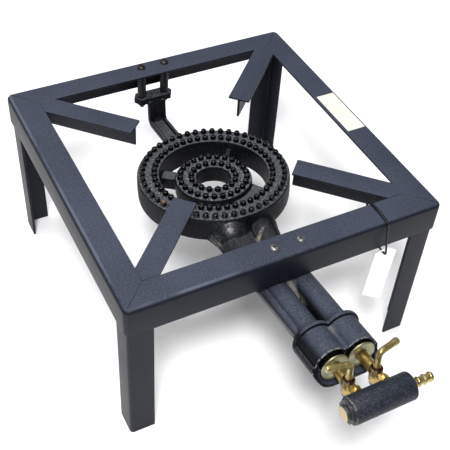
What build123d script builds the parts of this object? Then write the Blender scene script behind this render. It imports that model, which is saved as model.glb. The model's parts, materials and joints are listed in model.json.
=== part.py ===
from build123d import *
import os
from math import atan2, cos, degrees, radians, sin, sqrt, tan

# A single burner stove: a welded stand of folded steel angle, a double-ring cast-iron
# gas burner with two mixing tubes, two brass plug cocks and the pipe that feeds them.
# Millimetres, +Z up. The origin is on the floor under the middle of the stand, the
# tubes and cocks reach out to the front, towards -Y.

# Sides with which small round pieces that do not turn, and hidden hollows, are drawn
ROUND_SIDES = 12
HOLLOW_SIDES = 24

# Stand
FRAME_SIDE = 400.0
FRAME_HEIGHT = 228.0
SHEET = 3.0
BEND = 4.0
CORNER_ROUND = 4.0
RAIL_TOP = 34.5
RAIL_DROP = 39.5
LEG_FLANGE = 31.0

# Pot supports of T section, from the corners inwards
SUPPORT_WIDTH = 28.0
SUPPORT_DEPTH = 20.0
SUPPORT_SHEET = 3.0
SUPPORT_REACH = 103.0

# How the burner hangs in the stand: front end up, tubes just under the front rail
BURNER_TILT = 5.8
BURNER_BACK = -3.3
TUBE_RAIL_GAP = 1.8

# Burner rings, radii and heights from the middle of the outer ring's face
OUTER_BORE = 68.0
OUTER_EDGE = 96.0
INNER_BORE = 21.7
INNER_EDGE = 48.5
RING_DEPTH = 34.0
INNER_STEP = 8.0
RING_WALL = 4.5
FOOT_CHAMFER = 4.0

# Ports, drilled through small raised nipples in two rows on each ring
PORT_INSET = 6.4
PORT = 2.0
PORT_SIDES = 4
NIPPLE = 6.4
NIPPLE_HEIGHT = 4.4
NIPPLE_ROOT = 1.0
NIPPLE_SIDES = 4
OUTER_RIM_COUNT = 50
OUTER_BORE_COUNT = 45
INNER_RIM_COUNT = 25
INNER_BORE_COUNT = 17

# Links between the rings: the passage over the right-hand tube, a spoke and a pointed rib
PASSAGE_ANGLE = -60.0
PASSAGE_WIDTH = 46.0
PASSAGE_DROP = 14.0
SPOKE_ANGLE = 140.0
SPOKE_WIDTH = 12.0
SPOKE_DROP = 17.0
RIB_ANGLE = 46.0
RIB_WIDTH = 5.0
RIB_HIGH = 9.0
RIB_LOW = 22.0
LINK_DEPTH = 14.0

# Mixing tubes
TUBE_PITCH = 34.0
TUBE_DROP = 37.5
TUBE_RADIUS = 16.0
TUBE_WALL = 4.0
HUMP_LENGTH = 54.0
HUMP_DROP = 19.0
HUMP_RADIUS = 21.0
TUBE_WEB = 8.0
RAMP_TOP = 26.0
RAMP_REACH = 18.0
RAMP_SLOPE = 20.0
FIN_WIDTH = 11.0
FIN_TAPER = 6.0
FIN_THICK = 4.0
FIN_RISE = 6.0

# Mouths of the mixing tubes
MOUTH_OVERHANG = 108.0
COLLAR_RADIUS = 20.0
COLLAR_LENGTH = 36.0
LIP_RADIUS = 22.5
LIP_WIDTH = 5.0
SADDLE = 13.5
CHIN_RADIUS = 24.0
CHIN_TOP = 2.0
MOUTH_RADIUS = 15.5
MOUTH_DEPTH = 40.0
HUB_SETBACK = 2.0
HUB_LENGTH = 10.0
BRIDGE_WIDTH = 15.0

# Rear arm and the lug that hangs from the back rail
ARM_WIDTH = 25.0
ARM_PLATE = 5.0
ARM_RIB = 5.0
ARM_RIB_WIDTH = 4.0
ARM_DROP = 28.5
ARM_BEND = 18.0
LUG_WIDTH = 20.0
LUG_THICK = 8.5
REAR_SLEEVE = 44.0

# Bolts, sleeves and the bosses over the tubes
BOLT = 6.0
BOLT_PITCH = 33.5
FRONT_BOLT_INSET = 18.0
REAR_BOLT_INSET = 14.0
BOLT_PLAY = 0.3
THREAD_PLAY = 0.05
BOLT_TAIL = 9.0
HEAD = 11.5
HEAD_HEIGHT = 3.8
SLEEVE = 12.0
BOSS = 18.0
BOSS_HEIGHT = 11.0
BOSS_THREAD = 9.0
BOSS_WEB = 8.0
NUT = 10.0
NUT_HEIGHT = 5.0

# Plug cocks: an upright barrel across a brass tube from the manifold to the mouth
COCK_STANDOFF = 30.0
COCK_TUBE = 11.0
GAS_WAY = 4.0
BARREL = 14.0
BARREL_TOP = 7.0
BARREL_FOOT = 12.0
INLET_HEX = 13.0
INLET_HEX_LENGTH = 6.0
SPIGOT_LENGTH = 8.0
PLUG = 10.4
PLUG_PLAY = 0.05
PLUG_END_GAP = 0.3
PLUG_TAIL = 1.5

# Levers, closed: swung a little towards the stand from square across the tubes
LEVER = 6.5
LEVER_RISE = 29.5
LEVER_BEND = 6.5
LEVER_KINKS = 3
LEVER_REACH = 27.0
LEVER_SETBACK = 12.0
LEVER_KNOB = 7.4
LEVER_KNOB_LENGTH = 7.0

# Air shutters: discs that screw along the cock tubes
SHUTTER_RADIUS = 16.5
SHUTTER_SIDES = 48
SHUTTER_THICK = 2.0
SHUTTER_GAP_LEFT = 4.5
SHUTTER_GAP_RIGHT = 2.2
SHUTTER_PLAY = 0.06

# Gas manifold across the two cocks, with its end plug and hose nipple
INLET_LENGTH = 30.0
MANIFOLD_RADIUS = 15.3
MANIFOLD_LEFT = 35.5
MANIFOLD_RIGHT = 38.0
MANIFOLD_BORE = 13.0
PLUG_HEX = 17.0
PLUG_HEX_LENGTH = 9.0
PLUG_FLANGE = 21.0
PLUG_FLANGE_THICK = 2.0
END_THREAD_LENGTH = 11.0
NIPPLE_HEX = 15.0
NIPPLE_HEX_LENGTH = 4.0
BARB = 11.5
BARB_ROOT = 9.0
BARB_COUNT = 3
BARB_PITCH = 7.5
BARB_LAND = 3.5
HOSE_WAY = 6.0

# Card tag on a round plastic tie about the front rail
TAG_X = 120.0
TAG_WIDTH = 21.0
TAG_HEIGHT = 84.0
TAG_THICK = 0.8
TAG_HOLE = 4.8
TAG_HOLE_SIDE = 7.5
TAG_HOLE_TOP = 9.0
TAG_CLIP_WIDTH = 9.7
TAG_CLIP_HEIGHT = 13.7
TAG_YAW = 40.0
TAG_SLACK = 0.8
TIE = 2.2
TIE_SIDES = 6
TIE_GAP = 0.5
TIE_ARCH = 3.0
TIE_CUT = 3.0
TIE_DIP = 2.5
TIE_FRONT = 11.0
TIE_BACK = 6.0

# Places in the stand
half = FRAME_SIDE / 2
rail_under = FRAME_HEIGHT - SHEET
rail_low = FRAME_HEIGHT - RAIL_DROP
rail_edge = half - RAIL_TOP
front_bolt_y = FRONT_BOLT_INSET - half
rear_bolt_y = half - REAR_BOLT_INSET
bolt_xs = (-BOLT_PITCH / 2, BOLT_PITCH / 2)
tie_low = rail_low - TIE_DIP

# The burner's own frame: ring axis upright, tubes towards -Y, outer face at height 0
slope = tan(radians(BURNER_TILT))
lean = cos(radians(BURNER_TILT))
tube_top = TUBE_RADIUS - TUBE_DROP
burner_z = rail_low - TUBE_RAIL_GAP - slope * (half + BURNER_BACK) - tube_top / lean
burner = Pos(0, BURNER_BACK, burner_z) * Rot(-BURNER_TILT, 0, 0)
ring_foot = -RING_DEPTH
inner_face = -INNER_STEP
left_u = -TUBE_PITCH / 2
right_u = TUBE_PITCH / 2
mouth_v = -(half + MOUTH_OVERHANG)
collar_back = mouth_v + COLLAR_LENGTH
lip_back = collar_back + LIP_WIDTH
hump_start = -(OUTER_EDGE + HUMP_LENGTH)
ring_middle = (OUTER_BORE + OUTER_EDGE) / 2
hub_front = mouth_v + HUB_SETBACK
hub_back = hub_front + HUB_LENGTH
cock_v = mouth_v - COCK_STANDOFF
manifold_v = cock_v - INLET_LENGTH

# Heights of the bolted seats, level in the stand
lug_top = rail_under - REAR_SLEEVE
lug_low = lug_top - LUG_THICK
boss_top = burner_z + tube_top / lean - slope * (front_bolt_y - BURNER_BACK) + BOSS_HEIGHT

# Orientation of turned pieces
along_y = Rot(-90, 0, 0)
along_x = Rot(0, 90, 0)


def turned(*points):
    """Body of revolution about Z from (radius, height) points."""
    outline = Plane.XZ * Polyline(*points, close=True)
    return revolve(make_face(outline), Axis.Z)


def rod(diameter, low, high):
    """Round bar along Z from one height to another."""
    return Pos(0, 0, low) * Cylinder(diameter / 2, high - low, align=(Align.CENTER, Align.CENTER, Align.MIN))


def bar(diameter, low, high):
    """Round bar of a small piece that does not turn, drawn with flat sides."""
    return extrude(Pos(0, 0, low) * RegularPolygon(diameter / 2, ROUND_SIDES), high - low)


def hexagon(across_flats, low, high):
    """Six-sided bar along Z from one height to another."""
    section = RegularPolygon(across_flats / 2, 6, major_radius=False)
    return extrude(Pos(0, 0, low) * section, high - low)


def in_section(profile, x_low, x_high):
    """Closed outline of (y, z) points, carried along X from one place to another."""
    plane = Plane(origin=(x_low, 0, 0), x_dir=(0, 1, 0), z_dir=(1, 0, 0))
    return extrude(plane * make_face(Polyline(*profile, close=True)), x_high - x_low)


def angle_section(across_flange, down_flange):
    """Folded angle with its outer corner at the origin, flanges along +X and -Y."""
    corners = [(0, 0), (across_flange, 0), (across_flange, -SHEET)]
    corners += [(SHEET, -SHEET), (SHEET, -down_flange), (0, -down_flange)]
    section = make_face(Polyline(*corners, close=True))
    outside = section.vertices().sort_by_distance((0, 0, 0))[0]
    return fillet(outside, BEND)


def rail_blank():
    """Front rail with mitred ends and the ground-off corners of the stand."""
    plane = Plane(origin=(0, -half, FRAME_HEIGHT), x_dir=(0, 1, 0), z_dir=(1, 0, 0))
    bar = extrude(plane * angle_section(RAIL_TOP, RAIL_DROP), half, both=True)
    mitre = make_face(Polyline((0, 0), (half, -half), (-half, -half), close=True))
    outline = mitre & RectangleRounded(FRAME_SIDE, FRAME_SIDE, CORNER_ROUND)
    return bar & extrude(outline, FRAME_HEIGHT)


def bolt_holes(y, diameter, low, high):
    """Pair of upright holes on the bolt pitch."""
    return [Pos(x, y, 0) * bar(diameter, low, high) for x in bolt_xs]


def leg():
    """Front left leg, nested in the corner of the rails and standing on the floor."""
    section = Rot(0, 0, 90) * angle_section(LEG_FLANGE, LEG_FLANGE)
    return Pos(SHEET - half, SHEET - half, 0) * extrude(section, rail_under)


def pot_support():
    """T-section bar along +X, its outer end cut to fit the corner between two rails."""
    side = SUPPORT_WIDTH / 2
    web = SUPPORT_SHEET / 2
    corner = rail_edge * sqrt(2)
    right = [(side, 0), (side, -SUPPORT_SHEET), (web, -SUPPORT_SHEET), (web, -SUPPORT_DEPTH)]
    mirrored = [(-x, y) for x, y in reversed(right)]
    section = make_face(Polyline(*right, *mirrored, close=True))
    plane = Plane(origin=(0, 0, FRAME_HEIGHT), x_dir=(0, 1, 0), z_dir=(1, 0, 0))
    bar = extrude(plane * section, corner)
    plan = [(SUPPORT_REACH, -side), (corner - side, -side), (corner, 0)]
    plan += [(corner - side, side), (SUPPORT_REACH, side)]
    return bar & extrude(make_face(Polyline(*plan, close=True)), FRAME_HEIGHT)


def ring(bore, edge, face):
    """Solid blank of one burner ring, its outer edge chamfered at the foot."""
    points = [(bore, face), (edge, face), (edge, ring_foot + FOOT_CHAMFER)]
    points += [(edge - FOOT_CHAMFER, ring_foot), (bore, ring_foot)]
    return turned(*points)


def chamber(bore, edge, face):
    """Gas space inside one ring."""
    high = face - RING_WALL
    low = ring_foot + RING_WALL
    outline = RegularPolygon(edge - RING_WALL, HOLLOW_SIDES) - RegularPolygon(bore + RING_WALL, HOLLOW_SIDES)
    return extrude(Pos(0, 0, low) * outline, high - low)


def spoke(angle, width, near_drop, far_drop):
    """Link between the two rings, from the inner wall out to the outer one."""
    near = sqrt((INNER_EDGE - RING_WALL / 2) ** 2 - (width / 2) ** 2)
    far = OUTER_BORE + RING_WALL / 2
    low = ring_foot + LINK_DEPTH / 4
    outline = [(near, -near_drop), (far, -far_drop), (far, low), (near, low)]
    face = make_face(Plane.XZ * Polyline(*outline, close=True))
    return Rot(0, 0, angle) * extrude(face, width / 2, both=True)


def port_rows():
    """Radius, count and face height of each row of ports."""
    return [
        (OUTER_EDGE - PORT_INSET, OUTER_RIM_COUNT, 0.0),
        (OUTER_BORE + PORT_INSET, OUTER_BORE_COUNT, 0.0),
        (INNER_EDGE - PORT_INSET, INNER_RIM_COUNT, inner_face),
        (INNER_BORE + PORT_INSET, INNER_BORE_COUNT, inner_face),
    ]


def nipple():
    """Raised seat of one port, rooted just under the ring's face."""
    section = Pos(0, 0, -NIPPLE_ROOT) * RegularPolygon(NIPPLE / 2, NIPPLE_SIDES)
    return extrude(section, NIPPLE_ROOT + NIPPLE_HEIGHT)


def port():
    """Hole of one port, through its nipple and the ring's face into the chamber."""
    depth = NIPPLE_HEIGHT + RING_WALL
    section = Pos(0, 0, NIPPLE_HEIGHT - depth) * RegularPolygon(PORT / 2, PORT_SIDES)
    return extrude(section, depth)


def on_rows(shape):
    """Copies of one shape at every port."""
    copies = []
    for radius, count, face in port_rows():
        copies += [Pos(0, 0, face) * place * shape for place in PolarLocations(radius, count)]
    return copies


def run_along(section, points):
    """Section carried along straight runs, mitred where the runs meet."""
    line = Polyline(*points)
    return sweep(Plane(origin=line @ 0, z_dir=line % 0) * section, line, transition=Transition.RIGHT)


def straight_run(section, u, front, back):
    """Straight run of one tube."""
    return run_along(section, [(u, front, -TUBE_DROP), (u, back, -TUBE_DROP)])


def rising_run(section, front, back):
    """Run of the left-hand tube that rises into the outer ring."""
    return run_along(section, [(left_u, front, -TUBE_DROP), (left_u, hump_start, -TUBE_DROP), (left_u, back, -HUMP_DROP)])


def hump(u):
    """Swelling of one tube where it rises to the wall of the outer ring."""
    rise = atan2(TUBE_DROP - HUMP_DROP, HUMP_LENGTH + OUTER_EDGE - ring_middle)
    length = (HUMP_LENGTH + RING_WALL / 2) / cos(rise)
    swelling = turned((0, 0), (TUBE_RADIUS, 0), (HUMP_RADIUS, length), (0, length))
    return Pos(u, hump_start, -TUBE_DROP) * Rot(degrees(rise), 0, 0) * along_y * swelling


def tube_bores():
    """Insides of the two mixing tubes: a wide mouth and a plain run to the ring."""
    bore = RegularPolygon(TUBE_RADIUS - TUBE_WALL, ROUND_SIDES)
    mouth = along_y * rod(2 * MOUTH_RADIUS, mouth_v, mouth_v + MOUTH_DEPTH)
    mouths = [Pos(u, 0, -TUBE_DROP) * mouth for u in (left_u, right_u)]
    to_inner = straight_run(bore, right_u, mouth_v, -(INNER_BORE + RING_WALL))
    return [to_inner, rising_run(bore, mouth_v, -ring_middle), *mouths]


def collar(u):
    """Thick mouth of one tube, with a raised lip at its back edge."""
    points = [(0, mouth_v), (COLLAR_RADIUS, mouth_v), (COLLAR_RADIUS, collar_back)]
    points += [(LIP_RADIUS, collar_back), (LIP_RADIUS, lip_back), (0, lip_back)]
    return Pos(u, 0, -TUBE_DROP) * along_y * turned(*points)


def saddle():
    """Web that fills the valley between the two mouths."""
    high = SADDLE - TUBE_DROP
    low = -SADDLE - TUBE_DROP
    return in_section([(mouth_v, low), (mouth_v, high), (collar_back, high), (collar_back, low)], left_u, right_u)


def chin():
    """Lower half of the joined mouths, wider than the upper half below the parting line."""
    ends = [Pos(u, 0) * Circle(CHIN_RADIUS) for u in (left_u, right_u)]
    outline = make_hull((ends[0] + ends[1]).edges())
    below = Rectangle(TUBE_PITCH + 2 * CHIN_RADIUS, CHIN_TOP + CHIN_RADIUS, align=(Align.CENTER, Align.MIN))
    plane = Plane(origin=(0, mouth_v, -TUBE_DROP), x_dir=(1, 0, 0), z_dir=(0, 1, 0))
    return extrude(plane * (outline & Pos(0, -CHIN_TOP) * below), COLLAR_LENGTH)


def bridge(u):
    """Bar across one mouth, tapped for the outlet tube of its cock."""
    reach = MOUTH_RADIUS + (COLLAR_RADIUS - MOUTH_RADIUS) / 2
    block = Pos(u, (hub_front + hub_back) / 2, -TUBE_DROP) * Box(BRIDGE_WIDTH, HUB_LENGTH, 2 * reach)
    return block - Pos(u, 0, -TUBE_DROP) * along_y * bar(COCK_TUBE + 2 * THREAD_PLAY, hub_front, hub_back)


def tube_ribs():
    """Web and ramp between the tubes, and the fin along the left-hand one."""
    ramp_back = hump_start
    ramp_front = -(half + BURNER_BACK + RAMP_REACH)
    low = -TUBE_DROP - TUBE_WEB / 2
    ramp = [(ramp_back, low), (ramp_back, -RAMP_TOP), (ramp_front + RAMP_SLOPE, -RAMP_TOP)]
    ramp += [(ramp_front, -TUBE_DROP), (ramp_front, low)]
    web = [(collar_back, low), (collar_back, low + TUBE_WEB), (ramp_back, low + TUBE_WEB), (ramp_back, low)]
    fin_root = left_u - TUBE_RADIUS / 2
    fin_edge = left_u - TUBE_RADIUS - FIN_WIDTH
    fin = [(fin_root, -OUTER_BORE), (fin_edge, -OUTER_BORE), (fin_edge + FIN_TAPER, lip_back), (fin_root, lip_back)]
    fin_face = Pos(0, 0, FIN_RISE - TUBE_DROP) * make_face(Polyline(*fin, close=True))
    return in_section(ramp, left_u, right_u), in_section(web, left_u, right_u), extrude(fin_face, FIN_THICK)


def arm_band(inset, thick, x_low, x_high):
    """Strip that runs back from the outer ring and turns up to the rear lug."""
    seat = burner.inverse() * Pos(0, rear_bolt_y - LUG_WIDTH / 2, lug_top - LUG_THICK / 2)
    start = OUTER_EDGE - RING_WALL / 2
    run = inset - ARM_DROP
    upright = seat.position.Y - inset
    path = FilletPolyline((start, run), (upright, run), (upright, seat.position.Z), radius=ARM_BEND - inset)
    band = make_face(offset(path, thick / 2, side=Side.BOTH).edges())
    plane = Plane(origin=(x_low, 0, 0), x_dir=(0, 1, 0), z_dir=(1, 0, 0))
    return extrude(plane * band, x_high - x_low)


def rear_arm():
    """Channel-shaped arm: a plate with a rib along each edge of its upper side."""
    side = ARM_WIDTH / 2
    plate = arm_band(0.0, ARM_PLATE, -side, side)
    ribs = [arm_band(ARM_RIB / 2, ARM_PLATE + ARM_RIB, x, x + ARM_RIB_WIDTH) for x in (-side, side - ARM_RIB_WIDTH)]
    return plate, *ribs


def rear_lug():
    """Level cross-piece with six-sided ends under the rear sleeves."""
    ends = [Pos(x, 0) * RegularPolygon(LUG_WIDTH / 2, 6, major_radius=False) for x in bolt_xs]
    outline = make_hull((ends[0] + ends[1]).edges())
    return Pos(0, rear_bolt_y, lug_low) * extrude(outline, LUG_THICK)


def front_bosses():
    """Tapped bosses that stand on the tubes under the front rail, joined by a web."""
    root = boss_top - BOSS_HEIGHT - TUBE_RADIUS
    bosses = [Pos(x, front_bolt_y, 0) * bar(BOSS, root, boss_top) for x in bolt_xs]
    height = boss_top - BOSS_THREAD / 2 - root
    low = (Align.CENTER, Align.CENTER, Align.MIN)
    return *bosses, Pos(0, front_bolt_y, root) * Box(BOLT_PITCH, BOSS_WEB, height, align=low)


def burner_casting():
    """One hollow iron casting: two rings with ports, two tubes, rear arm and seats."""
    outer = ring(OUTER_BORE, OUTER_EDGE, 0.0)
    inner = ring(INNER_BORE, INNER_EDGE, inner_face)
    right_tube = straight_run(Circle(TUBE_RADIUS), right_u, lip_back, -(INNER_BORE + RING_WALL / 2))
    left_tube = straight_run(Circle(TUBE_RADIUS), left_u, lip_back, hump_start)
    blank = outer + inner + right_tube + left_tube
    blank += [hump(left_u), hump(right_u), spoke(PASSAGE_ANGLE, PASSAGE_WIDTH, PASSAGE_DROP, PASSAGE_DROP)]
    blank += [spoke(SPOKE_ANGLE, SPOKE_WIDTH, SPOKE_DROP, SPOKE_DROP), spoke(RIB_ANGLE, RIB_WIDTH, RIB_LOW, RIB_HIGH)]
    blank += [collar(left_u), collar(right_u), saddle(), chin(), *tube_ribs(), *rear_arm()]
    centre = rod(2 * INNER_BORE, ring_foot - TUBE_DROP, 0)
    blank -= centre
    casting = burner * blank
    casting += [rear_lug(), *front_bosses()]
    hollows = [chamber(OUTER_BORE, OUTER_EDGE, 0.0) - right_tube, chamber(INNER_BORE, INNER_EDGE, inner_face)]
    hollows += tube_bores()
    casting -= [burner * hollow for hollow in hollows]
    casting += [burner * bridge(left_u), burner * bridge(right_u)]
    casting += [burner * seat for seat in on_rows(nipple())]
    casting -= [burner * hole for hole in on_rows(port())]
    casting -= bolt_holes(rear_bolt_y, BOLT + 2 * BOLT_PLAY, lug_low, lug_top)
    casting -= bolt_holes(front_bolt_y, BOLT + 2 * THREAD_PLAY, boss_top - BOSS_THREAD - BOLT_PLAY, boss_top)
    return casting


def screw(length):
    """Pan-head machine screw, hanging from its head's underside at height 0."""
    return bar(BOLT, -length, 0) + bar(HEAD, 0, HEAD_HEIGHT)


def sleeve(low, high):
    """Spacer tube round one bolt."""
    return bar(SLEEVE, low, high) - bar(BOLT + 2 * BOLT_PLAY, low, high)


def cock_body():
    """Brass body, drawn with the plug upright through the origin and the outlet towards +Y."""
    outlet_end = hub_back - cock_v
    seat = MANIFOLD_RADIUS - INLET_LENGTH
    inlet_end = seat - SPIGOT_LENGTH
    body = bar(BARREL, -BARREL_FOOT, BARREL_TOP) + along_y * bar(COCK_TUBE, inlet_end, outlet_end)
    body += along_y * hexagon(INLET_HEX, seat, seat + INLET_HEX_LENGTH)
    body -= along_y * hexagon(GAS_WAY, inlet_end, outlet_end)
    return body - rod(PLUG, -BARREL_FOOT, BARREL_TOP)


def cock_plug():
    """Plug with a cross port, and the bent rod lever in line with the port."""
    nut_low = -BARREL_FOOT - PLUG_END_GAP - NUT_HEIGHT
    plug = rod(PLUG - 2 * PLUG_PLAY, -BARREL_FOOT, BARREL_TOP) + bar(BOLT, nut_low - PLUG_TAIL, -BARREL_FOOT)
    half_kink = 90 / LEVER_KINKS / 2
    line = [(0, 0, BARREL_TOP)]
    for kink in range(LEVER_KINKS):
        angle = radians(half_kink * (2 * kink + 1))
        radius = LEVER_BEND / cos(radians(half_kink))
        line.append((LEVER_BEND - radius * cos(angle), 0, LEVER_RISE - LEVER_BEND + radius * sin(angle)))
    line.append((LEVER_REACH, 0, LEVER_RISE))
    plug += run_along(RegularPolygon(LEVER / 2, ROUND_SIDES), line)
    knob = bar(LEVER_KNOB, LEVER_REACH - LEVER_KNOB_LENGTH, LEVER_REACH)
    plug += Pos(0, 0, LEVER_RISE) * along_x * knob
    return plug - along_x * hexagon(GAS_WAY, -PLUG / 2, PLUG / 2)


def plug_nut():
    """Six-sided nut that keeps the plug in its barrel."""
    low = -BARREL_FOOT - PLUG_END_GAP - NUT_HEIGHT
    return hexagon(NUT, low, low + NUT_HEIGHT) - bar(BOLT + 2 * THREAD_PLAY, low, low + NUT_HEIGHT)


def shutter():
    """Round air shutter, its back face towards the mouth at y = 0."""
    disc = extrude(RegularPolygon(SHUTTER_RADIUS, SHUTTER_SIDES), -SHUTTER_THICK)
    return along_y * (disc - bar(COCK_TUBE + 2 * SHUTTER_PLAY, -SHUTTER_THICK, 0))


def manifold():
    """Round feed pipe across the cocks, bored through, with a hole for each cock."""
    pipe = rod(2 * MANIFOLD_RADIUS, -MANIFOLD_LEFT, MANIFOLD_RIGHT)
    pipe = along_x * (pipe - bar(MANIFOLD_BORE, -MANIFOLD_LEFT, MANIFOLD_RIGHT))
    hole = along_y * bar(COCK_TUBE + 2 * THREAD_PLAY, 0, MANIFOLD_RADIUS)
    return pipe - [Pos(u, 0, 0) * hole for u in (left_u, right_u)]


def end_plug():
    """Six-sided plug with a sealing flange in the manifold's left end, along X."""
    flange = -MANIFOLD_LEFT - PLUG_FLANGE_THICK
    plug = hexagon(PLUG_HEX, flange - PLUG_HEX_LENGTH, flange) + bar(PLUG_FLANGE, flange, -MANIFOLD_LEFT)
    return along_x * (plug + bar(MANIFOLD_BORE - 2 * THREAD_PLAY, -MANIFOLD_LEFT, END_THREAD_LENGTH - MANIFOLD_LEFT))


def hose_nipple():
    """Barbed hose tail in the manifold's right end, along X."""
    seat = MANIFOLD_RIGHT
    start = seat + NIPPLE_HEX_LENGTH
    tip = start + BARB_COUNT * BARB_PITCH
    tail = bar(MANIFOLD_BORE - 2 * THREAD_PLAY, seat - END_THREAD_LENGTH, seat) + hexagon(NIPPLE_HEX, seat, start)
    tail += bar(BARB_ROOT, start, tip)
    for barb in range(BARB_COUNT):
        shoulder = start + (barb + 1) * BARB_PITCH - BARB_LAND
        tail += rod(BARB, shoulder, shoulder + BARB_LAND)
    return along_x * (tail - bar(HOSE_WAY, seat - END_THREAD_LENGTH, tip))


def eased(points):
    """Line of points with its inner corners cut back."""
    line = [Vector(points[0])]
    for before, corner, after in zip(points, points[1:], points[2:]):
        here = Vector(corner)
        line += [here + (Vector(other) - here).normalized() * TIE_CUT for other in (before, after)]
    return line + [Vector(points[-1])]


def tag_tie():
    """Stiff round plastic tie about the front rail, arched over its top, with a level foot in front."""
    near = TIE_GAP + TIE / 2
    inner = near + TIE_CUT - rail_edge
    top = FRAME_HEIGHT + near
    foot = (-half - TIE_FRONT, SHEET + TIE_BACK - half)
    rise = [(foot[0], tie_low), (-half - near, top), (-half + RAIL_TOP / 2, top + TIE_ARCH), (inner, top)]
    rise += [(inner, rail_under - TIE_CUT), (foot[1], tie_low)]
    middle = (foot[0] + foot[1]) / 2
    line = eased([(0, y, z) for y, z in [(middle - TIE, tie_low), *rise, (middle + TIE, tie_low)]])
    loop = run_along(RegularPolygon(TIE / 2, TIE_SIDES), line)
    loop += Pos(0, 0, tie_low) * along_y * rod(TIE, foot[0] + TIE_CUT, foot[1] - TIE_CUT)
    return Pos(TAG_X, 0, 0) * loop


def hang_tag():
    """Card with one clipped corner and a punched hole, hung free from the foot of the tie."""
    left = -TAG_HOLE_SIDE
    right = TAG_WIDTH - TAG_HOLE_SIDE
    low = TAG_HOLE_TOP - TAG_HEIGHT
    corners = [(left, low), (right, low), (right, TAG_HOLE_TOP)]
    corners += [(left + TAG_CLIP_WIDTH, TAG_HOLE_TOP), (left, TAG_HOLE_TOP - TAG_CLIP_HEIGHT)]
    card = make_face(Polyline(*corners, close=True)) - Circle(TAG_HOLE / 2)
    plane = Plane(origin=(0, 0, -TAG_SLACK), x_dir=(1, 0, 0), z_dir=(0, -1, 0))
    sheet = Rot(0, 0, -TAG_YAW) * extrude(plane * card, TAG_THICK / 2, both=True)
    middle = sheet.center()
    return Rot(0, degrees(atan2(middle.X, -middle.Z)), 0) * sheet


# Every node of the stove, by name
nodes = {}
blank = rail_blank()
nodes["rail_front"] = blank - bolt_holes(front_bolt_y, BOLT + 2 * BOLT_PLAY, rail_under, FRAME_HEIGHT)
nodes["rail_right"] = Rot(0, 0, 90) * blank
nodes["rail_back"] = Rot(0, 0, 180) * blank - bolt_holes(rear_bolt_y, BOLT + 2 * BOLT_PLAY, rail_under, FRAME_HEIGHT)
nodes["rail_left"] = Rot(0, 0, 270) * blank
for turn, corner in enumerate(("front_left", "front_right", "back_right", "back_left")):
    nodes["leg_" + corner] = Rot(0, 0, 90 * turn) * leg()
    nodes["pot_support_" + corner] = Rot(0, 0, 90 * turn + 225) * pot_support()

nodes["burner_casting"] = burner_casting()

front_bolt = screw(FRAME_HEIGHT - boss_top + BOSS_THREAD)
nut_low = lug_low - NUT_HEIGHT
rear_bolt = screw(FRAME_HEIGHT - nut_low + BOLT_TAIL) + hexagon(NUT, nut_low - FRAME_HEIGHT, lug_low - FRAME_HEIGHT)
bolts = [Pos(x, front_bolt_y, FRAME_HEIGHT) * front_bolt for x in bolt_xs]
bolts += [Pos(x, rear_bolt_y, FRAME_HEIGHT) * rear_bolt for x in bolt_xs]
sleeves = [Pos(x, front_bolt_y, 0) * sleeve(boss_top, rail_under) for x in bolt_xs]
sleeves += [Pos(x, rear_bolt_y, 0) * sleeve(lug_top, rail_under) for x in bolt_xs]
nodes["mount_bolts"] = Compound(children=bolts)
nodes["mount_sleeves"] = Compound(children=sleeves)

left_side = ("left", left_u, 180 - LEVER_SETBACK, SHUTTER_GAP_LEFT)
right_side = ("right", right_u, LEVER_SETBACK, SHUTTER_GAP_RIGHT)
for side, u, heading, gap in (left_side, right_side):
    at_cock = burner * Pos(u, cock_v, -TUBE_DROP)
    turned_shut = at_cock * Rot(0, 0, heading)
    nodes["cock_body_" + side] = at_cock * cock_body()
    nodes["cock_plug_" + side] = turned_shut * cock_plug()
    nodes["plug_nut_" + side] = turned_shut * plug_nut()
    nodes["air_shutter_" + side] = burner * Pos(u, mouth_v - gap, -TUBE_DROP) * shutter()

at_manifold = burner * Pos(0, manifold_v, -TUBE_DROP)
nodes["gas_manifold"] = at_manifold * manifold()
nodes["manifold_plug"] = at_manifold * end_plug()
nodes["hose_nipple"] = at_manifold * hose_nipple()

nodes["tag_tie"] = tag_tie()
nodes["hang_tag"] = Pos(TAG_X, -half - TIE_FRONT / 2, tie_low) * hang_tag()

os.makedirs("parts", exist_ok=True)
for name, shape in nodes.items():
    export_step(shape, os.path.join("parts", name + ".step"))
    print(name, round(shape.volume, 1))
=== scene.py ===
# %% [markdown]
# # A single burner stove
# The stove is a low square stand of folded steel angle with a cast gas burner bolted inside
# it. The packed model already holds every part at its true place and size, so this lesson
# loads it first and reads the sizes of its parts from it.

# %% Load the packed stove
import bmesh
import bpy
import json
from math import atan2, cos, hypot, pi, radians, sin, sqrt
from mathutils import Matrix, Vector


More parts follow.
